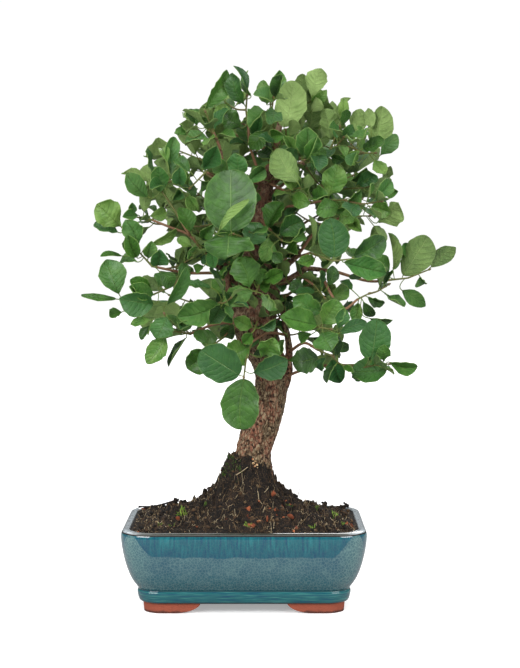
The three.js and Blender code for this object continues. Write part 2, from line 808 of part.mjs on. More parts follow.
function soilSolid(trunkHole) {
  const inside = [...POT_INSIDE].reverse().slice(0, 3);
  const rings = inside.map(([height, inset], i) => potRing(height + (i === 0 ? GAP : 0), inset + GAP));
  const edge = potRing(SOIL.atWall, POT_INSIDE[1][1] + GAP + 0.1);
  rings.push(edge);
  for (const share of SOIL_RINGS) {
    rings.push(edge.map((p) => {
      const x = THREE.MathUtils.lerp(p.x, SOIL.middle.x, share);
      const y = THREE.MathUtils.lerp(p.y, SOIL.middle.y, share);
      return new THREE.Vector3(x, y, soilHeight(x, y, Math.min(1, share * SOIL.climb)));
    }));
  }
  const middle = SOIL.middle.clone().setZ(soilHeight(SOIL.middle.x, SOIL.middle.y, 1));
  rings.push([middle]);
  return solid(skin(rings)).subtract(trunkHole).subtract(screenPocket(-1)).subtract(screenPocket(1));
}

// A smooth path through the given points, as evenly counted steps with a frame at each
function framesAlong(points, count) {
  const curve = new THREE.CatmullRomCurve3(points, false, 'catmullrom', 0.5);
  const frames = [];
  let across = null;
  for (let i = 0; i <= count; i += 1) {
    const t = i / count;
    const centre = curve.getPoint(t);
    const ahead = curve.getPoint(Math.min(1, t + 0.01));
    const behind = curve.getPoint(Math.max(0, t - 0.01));
    const along = ahead.sub(behind).normalize();
    if (across === null) across = Math.abs(along.x) < 0.8 ? new THREE.Vector3(1, 0, 0) : VIEW.clone();
    across = across.clone().addScaledVector(along, -across.dot(along)).normalize();
    frames.push({ t, centre, along, across, over: along.clone().cross(across) });
  }
  return frames;
}

function ringAround(frame, radius, sides, wobble = () => 1) {
  const ring = [];
  for (let j = 0; j < sides; j += 1) {
    const turn = (j / sides) * 2 * Math.PI;
    const r = radius * wobble(j);
    ring.push(frame.centre.clone()
      .addScaledVector(frame.across, r * Math.cos(turn))
      .addScaledVector(frame.over, r * Math.sin(turn)));
  }
  return ring;
}

function tube(frames, radiusAt, sides) {
  return skin(frames.map((frame) => ringAround(frame, radiusAt(frame.t), sides)));
}

function taper([start, end]) {
  return (t) => start + (end - start) * t;
}

function trunkTube(extra) {
  const frames = framesAlong(TRUNK.map(place), TRUNK_STEPS);
  const draw = seededDraws(BARK_SEED);
  const rings = frames.map((frame) => {
    const at = frame.t * (TRUNK.length - 1);
    const low = Math.min(Math.floor(at), TRUNK.length - 2);
    const radius = THREE.MathUtils.lerp(TRUNK[low][3], TRUNK[low + 1][3], at - low);
    const ridges = Array.from({ length: TRUNK_SIDES }, () => 1 + BARK_DEPTH * (2 * draw() - 1));
    return ringAround(frame, radius + extra, TRUNK_SIDES, (j) => ridges[j]);
  });
  return solid(skin(rings));
}

function limbSolid({ path, radii }) {
  const frames = framesAlong(path.map(place), path.length);
  return solid(tube(frames, taper(radii), LIMB_SIDES));
}

// The wood and the green shoot of a spray, on one curve with a clear gap between them
function sprayStem(points, green, woodRadius) {
  const curve = new THREE.CatmullRomCurve3(points, false, 'catmullrom', 0.5);
  const share = green / (points.length - 1);
  const seam = curve.getPoint(share);
  const along = curve.getPoint(share + 0.01).sub(curve.getPoint(share - 0.01)).normalize();
  const woodEnd = seam.clone().addScaledVector(along, -GAP / 2);
  const shootStart = seam.clone().addScaledVector(along, GAP / 2);
  const woodPoints = [...points.slice(0, green), woodEnd];
  const shootPoints = [shootStart, ...points.slice(green + 1)];
  const woodFrames = framesAlong(woodPoints, woodPoints.length - 1);
  const shootFrames = framesAlong(shootPoints, shootPoints.length - 1);
  squareTo(woodFrames.at(-1), along);
  squareTo(shootFrames[0], along);
  return {
    wood: solid(tube(woodFrames, taper([woodRadius, SHOOT_RADII[0]]), TWIG_SIDES)),
    shoot: solid(tube(shootFrames, taper(SHOOT_RADII), SHOOT_SIDES)),
    line: stepsBetween(shootFrames),
  };
}

// Evenly counted places on the straight pieces between a shoot's frames, where leaves may root
function stepsBetween(frames) {
  const steps = [];
  for (let i = 0; i <= ROOT_STEPS; i += 1) {
    const at = (i / ROOT_STEPS) * (frames.length - 1);
    const low = Math.min(Math.floor(at), frames.length - 2);
    const centre = frames[low].centre.clone().lerp(frames[low + 1].centre, at - low);
    const along = frames[low + 1].centre.clone().sub(frames[low].centre).normalize();
    steps.push({ centre, along });
  }
  return steps;
}

function squareTo(frame, along) {
  frame.across = frame.across.clone().addScaledVector(along, -frame.across.dot(along)).normalize();
  frame.over = along.clone().cross(frame.across);
}

// How wide a blade is, as a share of its full width, along its rib from foot to tip
function widthShare(s) {
  return (4 * s * (1 - s)) ** WIDTH_POWER * (WIDTH_AT_FOOT + WIDTH_TOWARDS_TIP * s);
}

// A leaf: its root in the shoot, the foot and tip of its blade, the direction of its upper face, its width
// and how much it is folded and arched
function leafPoint(leaf, s, v) {
  const rib = leaf.tip.clone().sub(leaf.foot);
  const point = leaf.foot.clone().addScaledVector(rib, s);
  const half = (leaf.width / 2) * widthShare(s);
  const turn = WAVES_ALONG * s + WAVES_APART * Math.sign(v) + leaf.phase;
  const wave = leaf.wave * leaf.width * Math.sin(turn) * v * v;
  const rise = leaf.fold * half * v * v + leaf.arch * rib.length() * 4 * s * (1 - s) + wave;
  return point.addScaledVector(leaf.side, half * v).addScaledVector(leaf.face, rise);
}

function bladeOf(leaf) {
  if (leaf.plain || leaf.width < MIDDLE_FROM) return BLADES.small;
  return leaf.width < LARGE_FROM ? BLADES.middle : BLADES.large;
}

// The directions of a stalk's breadth and thickness at its root and at the blade's foot, where it turns into
// the blade without getting thinner
function stalkAxes({ root, foot, tip, side, face }) {
  const along = foot.clone().sub(root).normalize();
  const turn = new THREE.Quaternion().setFromUnitVectors(tip.clone().sub(foot).normalize(), along);
  const turned = (axis) => axis.clone().applyQuaternion(turn);
  const between = (axis) => axis.clone().add(turned(axis)).divideScalar(1 + axis.dot(turned(axis)));
  return [{ side: turned(side), face: turned(face) }, { side: between(side), face: between(face) }];
}

// The blade and its stalk as one closed solid, grown all round by extra. Both faces have the same triangles:
// two for the stalk, and the blade's from side to side on a small leaf or round its middle points on a larger
// one. The stalk's root is three-sided, so the two corners of its underside are one point.
function leafSolid(leaf, extra = 0) {
  const grown = { ...leaf, width: leaf.width + 2 * extra };
  const [rootHalf, footHalf] = PETIOLE_WIDTHS.map((width) => width / 2 + extra);
  const { steps, middles } = bladeOf(leaf);
  const tip = leafPoint(grown, 1, 0).addScaledVector(leaf.tip.clone().sub(leaf.foot).normalize(), extra);
  const [rootAxes, footAxes] = stalkAxes(leaf);
  const edge = (side) => [
    leaf.root.clone().addScaledVector(rootAxes.side, side * rootHalf),
    leaf.foot.clone().addScaledVector(footAxes.side, side * footHalf),
    ...steps.map((s) => leafPoint(grown, s, side)),
  ];
  const outline = [...edge(-1), tip, ...edge(1).reverse()];
  const count = outline.length;
  const tipAt = steps.length + 2;
  const opposite = (i) => count - 1 - i;
  const top = [...outline, ...middles.map((s) => leafPoint(grown, s, 0))];
  const faces = [[0, 1, opposite(1)], [0, opposite(1), opposite(0)]];
  if (middles.length === 0) {
    for (let i = 1; i + 1 < tipAt; i += 1) {
      faces.push([i, i + 1, opposite(i + 1)], [i, opposite(i + 1), opposite(i)]);
    }
    faces.push([tipAt - 1, tipAt, tipAt + 1]);
  } else {
    const turnAt = middles.length === 1 ? tipAt : 1 + Math.ceil(steps.length / 2);
    for (let i = 1; i < opposite(1); i += 1) {
      const near = middles.length === 1 || i < turnAt || i >= opposite(turnAt);
      faces.push([near ? count : count + 1, i, i + 1]);
    }
    faces.push([count, opposite(1), 1]);
    if (middles.length > 1) faces.push([count, turnAt, count + 1], [count + 1, opposite(turnAt), count]);
  }
  const half = BLADE_THICKNESS / 2 + extra;
  const facing = top.map(() => leaf.face);
  [facing[0], facing[1], facing[opposite(1)], facing[opposite(0)]] = [
    rootAxes.face, footAxes.face, footAxes.face, rootAxes.face,
  ];
  const layer = (offset) => top.map((p, i) => p.clone().addScaledVector(facing[i], offset));
  const points = [...layer(half), ...layer(-half)];
  const shift = top.length;
  points[shift] = points[shift].clone().lerp(points[shift + opposite(0)], 0.5);
  points[shift + opposite(0)] = points[shift];
  const triangles = faces.flatMap(([a, b, c]) => [a, b, c, a + shift, c + shift, b + shift]);
  for (let i = 0; i < count; i += 1) {
    const next = (i + 1) % count;
    triangles.push(i, i + shift, next + shift, i, next + shift, next);
  }
  return solid(meshGeometry(points, triangles));
}

// Completes a leaf from its root, foot and tip, with the upper face turned towards a wanted direction and
// rolled about the rib. The foot moves along the blade where its stalk would be too short or bent back.
function makeLeaf(root, foot, tip, width, towards, roll, draw) {
  const rib = tip.clone().sub(foot).normalize();
  const stalk = foot.clone().sub(root);
  const ahead = stalk.dot(rib);
  const aside = stalk.addScaledVector(rib, -ahead).length();
  const least = Math.max(STALK_LEAN * aside, Math.sqrt(Math.max(0, PETIOLE_LEAST ** 2 - aside ** 2)));
  foot.addScaledVector(rib, Math.max(0, least - ahead));
  const face = towards.clone().addScaledVector(rib, -towards.dot(rib)).normalize();
  face.applyAxisAngle(rib, THREE.MathUtils.degToRad(roll));
  const side = face.clone().cross(rib);
  return {
    root, foot, tip, width, face, side,
    plain: false,
    fold: drawn(BLADE_SHAPE.fold, draw),
    arch: drawn(BLADE_SHAPE.arch, draw),
    wave: drawn(BLADE_SHAPE.wave, draw),
    phase: drawn(BLADE_SHAPE.phase, draw),
  };
}

// A leaf on the front, moved nearer or further by one of the tries. It roots where the shoot passes nearest
// to its foot, clear of the roots that are taken.
function frontLeaf(row, line, taken, seed, attempt) {
  const [footAcross, footDown, tipAcross, tipDown, width, lean, roll] = row;
  const draw = seededDraws(seed);
  const moreLean = FRONT_LEAVES.leanDraw * (draw() - 0.5);
  const moreRoll = FRONT_LEAVES.rollDraw * (draw() - 0.5);
  const tryRoll = attempt < DEPTH_TRIES.length ? 0 : FRONT_LEAVES.rollTry;
  let best = null;
  line.forEach((step, at) => {
    if (at < FIRST_ROOT || taken.some((other) => Math.abs(other - at) < ROOT_SPACING)) return;
    const gap = place([footAcross, footDown, step.centre.y]).distanceTo(step.centre);
    if (best === null || gap < best.gap) best = { gap, step, at };
  });
  const depth = best.step.centre.y + DEPTH_TRIES[attempt % DEPTH_TRIES.length];
  const foot = place([footAcross, footDown, depth]);
  const read = place([tipAcross, tipDown, depth + lean + moreLean]);
  const tip = foot.clone().lerp(read, FRONT_LEAVES.longer);
  const full = width * STEP * FRONT_LEAVES.wider;
  const towards = VIEW.clone().negate();
  const leaf = makeLeaf(best.step.centre.clone(), foot, tip, full, towards, roll + moreRoll + tryRoll, draw);
  leaf.rootAt = best.at;
  return leaf;
}

// A leaf of a back spray, turned on round the shoot and shortened by each try
function backLeaf(index, line, seed, attempt) {
  const rule = BACK_LEAVES;
  const draw = seededDraws(seed);
  const share = index / (rule.count - 1);
  const step = line[Math.round((rule.rootFrom + rule.rootSpan * share) * (line.length - 1))];
  const turn = index * GOLDEN_ANGLE + rule.turnDraw * draw() + rule.turnTry * attempt;
  const open = index === rule.count - 1 ? rule.spreadLast : rule.spreadFirst - rule.spreadFall * share;
  const spread = THREE.MathUtils.degToRad(open + rule.spreadDraw * draw());
  const shorter = 1 - rule.shorterTry * attempt;
  const length = rule.length * drawn([rule.lengthLeast, rule.lengthDraw], draw) * shorter;
  const level = step.along.clone().cross(UP).normalize();
  const out = level.applyAxisAngle(step.along, THREE.MathUtils.degToRad(turn));
  const along = step.along.clone().multiplyScalar(Math.cos(spread)).addScaledVector(out, Math.sin(spread));
  const foot = step.centre.clone().addScaledVector(along, PETIOLE_LEAST + rule.stalkShare * length);
  const tip = foot.clone().addScaledVector(along, length);
  const towards = step.along.clone().addScaledVector(UP, rule.faceUp);
  towards.addScaledVector(VIEW, rule.faceOut * Math.sign(step.centre.y));
  const width = length * drawn([rule.widthLeast, rule.widthDraw], draw);
  const roll = rule.rollDraw * (draw() - 0.5);
  const leaf = makeLeaf(step.centre.clone(), foot, tip, width, towards, roll, draw);
  leaf.plain = true;
  return leaf;
}

// Whether a leaf covers one of the open view lines, by its middle or its tip
function hidesOpenSpot(leaf) {
  const [across, down] = frontView(leafPoint(leaf, 0.5, 0));
  const [tipAcross, tipDown] = frontView(leaf.tip);
  return OPEN_SPOTS.some(([spotAcross, spotDown, radius]) => {
    const middleIn = Math.hypot(across - spotAcross, down - spotDown) < radius + OPEN_MARGIN * leaf.width;
    return middleIn || Math.hypot(tipAcross - spotAcross, tipDown - spotDown) < radius;
  });
}

// Whether the front view shows a point beyond the crown's edge
function showsBeyondCrown(point) {
  const [across, down] = frontView(point);
  const crossings = CROWN_EDGE.filter(([fromAcross, fromDown], index) => {
    const [toAcross, toDown] = CROWN_EDGE[(index + 1) % CROWN_EDGE.length];
    if (fromDown > down === toDown > down) return false;
    return across < fromAcross + ((toAcross - fromAcross) * (down - fromDown)) / (toDown - fromDown);
  });
  return crossings.length % 2 === 0;
}

function fitsTheCrown(leaf) {
  return !hidesOpenSpot(leaf) && !showsBeyondCrown(leafPoint(leaf, 0.5, 0)) && !showsBeyondCrown(leaf.tip);
}

// Everything that stands already, for testing what is added
const standing = [];

function stand(owner, piece) {
  standing.push({ owner, piece, box: piece.boundingBox() });
}

function boxesMeet(a, b) {
  return [0, 1, 2].every((axis) => a.min[axis] <= b.max[axis] && b.min[axis] <= a.max[axis]);
}

function meets(piece, test, least) {
  const box = piece.boundingBox();
  return standing.some((other) => {
    if (!test(other) || !boxesMeet(box, other.box)) return false;
    const shared = piece.intersect(other.piece);
    return !shared.isEmpty() && shared.volume() > least;
  });
}

function leafIsClear(leaf, owner) {
  if (meets(leafSolid(leaf, GAP), (other) => other.owner !== owner, 0)) return false;
  return !meets(leafSolid(leaf), (other) => other.owner === owner && other.piece.isLeaf, CROSSING_ALLOWED);
}

// The path of a back spray, turned a little further by each try
function backPath(index, attempt) {
  const rule = BACK_SPRAYS;
  const draw = seededDraws(rule.seed + index);
  const climb = (index + 0.5) / rule.count;
  const share = ((index + 1) * GOLDEN_SHARE) % 1;
  const turn = THREE.MathUtils.degToRad(rule.turnFrom + rule.turnSpan * share + rule.turnTry * attempt);
  const base = THREE.MathUtils.lerp(rule.lowest, rule.highest, climb);
  const height = base + drawn([rule.riseLeast, rule.riseDraw], draw);
  const start = trunkCentreAt(base - rule.startBelow);
  const [cx, cy, cz] = CROWN.centre;
  const [rx, ry, rz] = CROWN.reach;
  const level = Math.sqrt(Math.max(rule.leastLevel, 1 - ((height - cz) / rz) ** 2));
  const fill = rule.fill[index % rule.fill.length];
  const tip = new THREE.Vector3(
    cx + fill * rx * level * Math.cos(turn),
    cy + fill * ry * level * Math.sin(turn),
    height,
  );
  const elbow = start.clone().lerp(tip, rule.elbowAt).addScaledVector(UP, rule.elbowDrop * (draw() - 1));
  const seam = start.clone().lerp(tip, rule.woodShare);
  return [start, elbow, seam, tip];
}

function trunkCentreAt(height) {
  const centres = TRUNK.map(place);
  const upper = centres.findIndex((p) => p.z >= height);
  const lower = centres[upper - 1];
  return lower.clone().lerp(centres[upper], (height - lower.z) / (centres[upper].z - lower.z));
}

// The tree's wood
let wood = trunkTube(0);
stand('trunk', wood);
for (const limb of Object.values(LIMBS)) {
  const piece = limbSolid(limb);
  stand('trunk', piece);
  wood = wood.add(piece);
}

// The stems of the sprays, the front ones first
const sprays = [];
for (const [name, spray] of Object.entries(FRONT_SPRAYS)) {
  const stem = sprayStem(spray.path.map(place), spray.green, TWIG_RADII.front);
  sprays.push({ name: `spray_${name}`, stem, rows: spray.leaves });
}
for (const { name, stem } of sprays) {
  stand('trunk', stem.wood);
  stand(name, stem.shoot);
  wood = wood.add(stem.wood);
}
for (let index = 0; index < BACK_SPRAYS.count; index += 1) {
  const name = `spray_back_${String(index + 1).padStart(2, '0')}`;
  for (let attempt = 0; attempt < BACK_TRIES; attempt += 1) {
    const stem = sprayStem(backPath(index, attempt), 2, TWIG_RADII.back);
    const shootClear = !meets(stem.shoot, () => true, 0);
    if (shootClear && !meets(stem.wood, (other) => other.owner !== 'trunk', 0)) {
      sprays.push({ name, stem, rows: null });
      stand('trunk', stem.wood);
      stand(name, stem.shoot);
      wood = wood.add(stem.wood);
      break;
    }
  }
}

// Their leaves: the first try that is clear of everything else is the one that grows
const dropped = [];
for (const [sprayIndex, spray] of sprays.entries()) {
  const count = spray.rows ? spray.rows.length : BACK_LEAVES.count;
  spray.body = spray.stem.shoot;
  spray.leafCount = 0;
  const taken = [];
  for (let index = 0; index < count; index += 1) {
    const seed = LEAF_SEEDS.first + LEAF_SEEDS.perSpray * sprayIndex + index;
    const tries = spray.rows ? 2 * DEPTH_TRIES.length : BACK_TRIES;
    let grown = null;
    for (let attempt = 0; attempt < tries && grown === null; attempt += 1) {
      const leaf = spray.rows
        ? frontLeaf(spray.rows[index], spray.stem.line, taken, seed, attempt)
        : backLeaf(index, spray.stem.line, seed, attempt);
      const open = spray.rows || fitsTheCrown(leaf);
      if (open && leafIsClear(leaf, spray.name)) {
        grown = leafSolid(leaf);
        taken.push(leaf.rootAt);
      }
    }
    if (grown === null) {
      dropped.push(`${spray.name} ${index}`);
    } else {
      grown.isLeaf = true;
      stand(spray.name, grown);
      spray.body = spray.body.add(grown);
      spray.leafCount += 1;
    }
  }
}

function nodeMesh(name, body, material) {
  const { vertProperties, triVerts } = body.getMesh();
  const geometry = new THREE.BufferGeometry();
  geometry.setAttribute('position', new THREE.BufferAttribute(vertProperties, 3));
  geometry.setIndex(new THREE.BufferAttribute(triVerts, 1));
  geometry.computeVertexNormals();
  const mesh = new THREE.Mesh(geometry, material);
  mesh.name = name;
  return mesh;
}

function material(colour, roughness) {
  return new THREE.MeshStandardMaterial({ color: colour, roughness, metalness: 0 });
}

const tree = new THREE.Group();
tree.add(nodeMesh('pot', potSolid(), material(COLOURS.glaze, 0.15)));
tree.add(nodeMesh('soil', soilSolid(trunkTube(GAP)), material(COLOURS.soil, 0.95)));
tree.add(nodeMesh('drain_screen_left', drainScreen(-1), material(COLOURS.screen, 0.6)));
tree.add(nodeMesh('drain_screen_right', drainScreen(1), material(COLOURS.screen, 0.6)));
tree.add(nodeMesh('trunk', wood, material(COLOURS.bark, 0.9)));
for (const spray of sprays) tree.add(nodeMesh(spray.name, spray.body, material(COLOURS.leaf, 0.45)));
tree.userData = { dropped, leaves: sprays.reduce((sum, spray) => sum + spray.leafCount, 0) };

// The origin moves from under the pot to under the middle of the whole outline
const outline = new THREE.Box3().setFromObject(tree, true);
const middle = outline.getCenter(new THREE.Vector3());
tree.position.set(-middle.x, -middle.y, 0);

export default tree;
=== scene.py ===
"""The finished look of a cork oak bonsai in its glazed pot, built around the CAD model of the same tree.

Lengths are millimetres from the middle of the pot, on the ground that it stands on, until a piece is made.
A seeded value is given as its least value and its span.
"""

import contextlib
import functools
import math
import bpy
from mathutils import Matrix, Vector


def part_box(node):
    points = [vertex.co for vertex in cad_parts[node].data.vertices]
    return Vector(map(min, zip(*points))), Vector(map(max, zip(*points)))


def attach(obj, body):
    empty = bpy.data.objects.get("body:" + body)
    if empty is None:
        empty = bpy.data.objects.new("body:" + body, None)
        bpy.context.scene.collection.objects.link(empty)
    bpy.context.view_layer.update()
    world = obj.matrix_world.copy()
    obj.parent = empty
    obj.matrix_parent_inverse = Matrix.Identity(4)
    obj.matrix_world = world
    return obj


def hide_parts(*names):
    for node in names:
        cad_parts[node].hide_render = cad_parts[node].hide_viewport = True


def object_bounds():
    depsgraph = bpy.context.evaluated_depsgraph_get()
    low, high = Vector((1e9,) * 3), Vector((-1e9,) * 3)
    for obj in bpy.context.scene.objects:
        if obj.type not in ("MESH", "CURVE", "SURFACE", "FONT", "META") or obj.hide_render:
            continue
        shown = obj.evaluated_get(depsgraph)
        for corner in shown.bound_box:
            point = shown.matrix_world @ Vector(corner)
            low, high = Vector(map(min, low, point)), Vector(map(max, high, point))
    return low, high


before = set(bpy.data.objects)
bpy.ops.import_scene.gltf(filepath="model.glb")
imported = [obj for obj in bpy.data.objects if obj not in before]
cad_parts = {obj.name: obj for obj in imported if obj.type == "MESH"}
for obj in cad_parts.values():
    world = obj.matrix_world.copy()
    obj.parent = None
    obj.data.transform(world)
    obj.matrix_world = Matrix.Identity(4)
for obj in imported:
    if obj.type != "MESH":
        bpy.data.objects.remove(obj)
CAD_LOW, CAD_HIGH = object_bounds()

from types import SimpleNamespace as Values

import bpy
import numpy as np
from bpy.props import FloatProperty, FloatVectorProperty, IntProperty, PointerProperty
from mathutils import Vector, kdtree, noise
from mathutils.bvhtree import BVHTree

bl_info = {
    "name": "Cork oak bonsai",
    "version": (1, 0, 0),
    "blender": (4, 5, 0),
    "location": "View3D > Sidebar > Bonsai",
    "description": "Builds a cork oak bonsai in its glazed pot around the CAD model",
    "category": "Object",
}

METRES = 0.001
POT_LOW, POT_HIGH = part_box("pot")
POT_MIDDLE = np.array([(POT_LOW.x + POT_HIGH.x) / 2, (POT_LOW.y + POT_HIGH.y) / 2, 0])
BOX_LOW = (np.array(CAD_LOW) - POT_MIDDLE) / METRES
BOX_HIGH = (np.array(CAD_HIGH) - POT_MIDDLE) / METRES
UP = np.array([0.0, 0.0, 1.0])
VIEW = np.array([0.0, 1.0, 0.0])

# The pot: half sizes at the widest, then its outline from the underside over the lip and down the inside.
# Each ring is (height, how far it stands in from the widest).
POT_HALF_LENGTH = 101.6
POT_HALF_DEPTH = 75
POT_CORNER = Values(widest=27, tighter=0.6, least=8, steps=12, side_steps=12)
POT_OUTLINE = [
    (8, 17.4), (10, 15), (16.6, 13.4), (18.9, 14.4), (20.7, 13.3), (27.1, 9), (36.1, 5.2), (48.1, 2),
    (60.1, 0.2), (65.9, 0.5), (68.1, 2.8), (67.9, 6), (64.1, 7.6), (32, 13.5), (19.5, 19), (15, 25),
]
POT_OUTLINE_STEPS = 6
POT_RINGS_UNDER_SOIL = 4
POT_CREASE = 40
FLOOR_TOP = 15
FOOT_RING = Values(top=9, inset_top=18, inset_bottom=18.8, width=15, arc_steps=12)
FOOT_ARCHES = {"lengthwise": (58, 35), "depthwise": (42, 27)}
DRAIN = Values(across=45, radius=7, sides=40, drill=20, screen_side=22, screen_thickness=1, holes=7,
               hole_side=2.2)
GAP = 0.35

# The soil: a level bed near the lip that climbs steeply to the foot of the trunk, with clods on it as
# (width, height)
SOIL = Values(
    middle=(2.6, 1), at_wall=66.3, edge=7, bed=12, bed_reach=94, peak=46, peak_foot=15.2, peak_width=10.4,
    peak_power=1.8, lump=1.5, waves=[(0.19, 0.07, 0), (-0.11, 0.23, 2)], climb=2.4, rings=84, top_from=0.5,
    clod_climb=14, clods_sunk=0.25, steeper=0.7, steeper_reach=30, swell=1.6, swell_width=15)
CLODS = [(7.0, 8.0), (3.2, 4.4), (1.5, 1.8)]

# Places on the tree are read in its front view as (across, down, depth): steps of STEP across and down, seen
# from EYE, and millimetres behind the middle of the pot.
STEP = 0.854
PHOTO_SIZE = (520, 668)
EYE = Values(distance=1400, height=303.1, across=13.2, across_step=260, down_step=243.7)

# Litter on the soil. Some of it lies where the front view shows it: every other chip of bark, the cut end of
# a root with the size of each lump, clumps of peat with their size, tufts of moss with the number and tone of
# their blades, and twigs and roots with their thickness and tone.
LUMP_ROUGHNESS = 0.6
CRUMB = Values(size=(0.45, 2.2), power=3, flatness=(1, 0.8, 0.6), large=0.8, darker=0.22)
FIBRE = Values(
    length=(2, 9), length_power=1.6, curl=4, each_lifted=5, lifted=3.5, lying=0.7, above=0.3, bends=5,
    thickness=(0.1, 0.16), thickness_power=2, sides=3, wall=0.02)
CHIP = Values(
    across=(244, 60), down=(499, 34), size=(1.2, 2.4), power=1.5, flatness=(1, 0.7, 0.3), above=0.8)
CLUMP = Values(lumps=9, spread=1.6, share=0.7, flatness=(1, 0.9, 0.7))
CUT_ROOT = Values(forward=1.5, flatness=(1, 0.7, 0.5), lumps=[
    (253, 460, 1.5), (255.5, 462, 1.2), (253.5, 464, 1.7), (257, 465.5, 1.3), (255, 467, 1.1),
    (257.5, 468.5, 1)])
MOSS = Values(reach=3.2, lean=(0.3, 1.6), rise=(1.2, 2.4), radii=(0.26, 0.3, 0.06), sides=3,
              knee=(0.3, 0.6), tone=(0.75, 0.25))
MOSS_TUFTS = [
    (181, 512, 34, 0.8), (184, 514, 20, 1.0), (247, 525, 34, 0.8), (334, 517, 40, 0.7), (337, 521, 24, 0.9),
    (313, 529, 24, 0.8), (160, 524, 12, 0.6), (150, 516, 10, 0.5), (345, 526, 14, 0.6), (291, 508, 10, 0.4),
    (229, 466, 30, 0.05), (233, 471, 26, 0.1), (240, 474, 18, 0.0), (224, 478, 16, 0.1), (205, 506, 8, 0.3),
    (318, 512, 8, 0.4), (171, 528, 8, 0.5),
]
PEAT_CLUMPS = [
    (176, 502, 43, 3.4), (171, 505, 46, 2.6), (183, 504, 40, 3.0), (190, 505, 34, 2.6), (163, 507, 50, 2.0),
    (324, 505, 46, 2.4), (346, 505, 56, 2.2),
]
LITTER_TWIGS = [
    ([(139, 507, 66), (150, 507, 58), (160, 505, 52), (170, 502, 46), (179, 499, 42)], 1.3, 0.02),
    ([(297, 503, -6), (298, 496, -6), (299.5, 488, -7)], 0.45, 0.1),
    ([(236, 475, -20), (241, 472, -20), (248, 467, -19)], 0.4, 0.95),
    ([(332, 510, 20), (340, 506, 24), (350, 505, 30)], 0.4, 0.2),
    ([(210, 500, -4), (219, 490, -8), (222, 482, -12)], 0.35, 0.3),
]
LITTER_TWIG = Values(steps=8, sides=5, taper=0.5)
LITTER_SEED = 5
TRUNK_AT_SOIL = (253, 460, 0)
CLEAR_OF_TRUNK = 13
CLEAR_OF_WALL = 9.5
# The litter's finishes: how rough they are, and their tones from dark to light as (place, red, green, blue)
LITTER_FINISHES = {
    "crumbs": (0.95, [
        (0, 6, 5, 3), (0.42, 34, 25, 17), (0.72, 84, 62, 40), (0.93, 132, 110, 80), (1, 206, 190, 160)]),
    "fibres": (0.9, [(0, 12, 9, 6), (0.4, 72, 53, 34), (0.8, 136, 112, 80), (1, 206, 188, 152)]),
    "chips": (0.9, [(0, 84, 42, 24), (0.6, 150, 78, 46), (0.97, 176, 104, 66), (1, 222, 198, 150)]),
    "moss": (0.8, [(0, 30, 44, 16), (0.6, 92, 130, 34), (1, 150, 184, 66)]),
}

# The trunk: (across, down, depth, radius), from its buried foot to its top
TRUNK = [
    (253, 546, 2, 19), (253, 525, 2, 25), (253, 495, 2, 21), (253, 470, 1, 17), (254.5, 447, 0, 15.2),
    (260.5, 427, 0, 15.6), (268, 402, 0, 15), (271.5, 380, 0, 13.8), (267.5, 358, 0, 14.5),
    (258, 336, 0, 18), (256, 318, 0, 19), (263, 300, 0, 14), (266, 284, 0, 12), (257, 264, 0, 10),
    (253, 246, 0, 9), (257, 225, 0, 8), (262, 207, 0, 7.4), (265, 190, 0, 7), (268, 176, 0, 5.4),
    (275, 155, 2, 4), (278, 132, 2, 3), (283, 112, 4, 1.9),
]
LIMBS = [
    ("burl", (14, 7), [(256, 324, -2), (238, 323, -6), (231, 321, -8)]),
    ("right_stem", (3.8, 2.2), [
        (280, 398, 0), (288, 376, -4), (289, 352, -6), (287, 335, -6), (281, 306, -8), (272, 296, -4),
    ]),
    ("left_leader", (3.4, 1.6), [
        (240, 322, -6), (231, 300, -12), (227, 272, -18), (226, 250, -22), (224, 200, -24), (223, 182, -24),
        (221, 150, -20),
    ]),
    ("branch_left", (3.4, 2), [(256, 290, -2), (235, 281, -10), (221, 268, -16), (207, 256, -20)]),
    ("branch_low_right", (3.4, 1.6), [
        (262, 292, -2), (276, 286, -6), (298, 274, -12), (305, 269, -14), (320, 269.5, -22),
        (337, 272, -28),
    ]),
    ("branch_mid_right", (3, 1.9), [(262, 282, 0), (281, 270, -8), (295, 258, -16), (300, 252, -20)]),
    ("branch_top_right", (3.2, 1.5), [
        (266, 190, 0), (278, 178, -2), (296, 166, -6), (315, 158, -10), (335, 150, -16),
    ]),
]
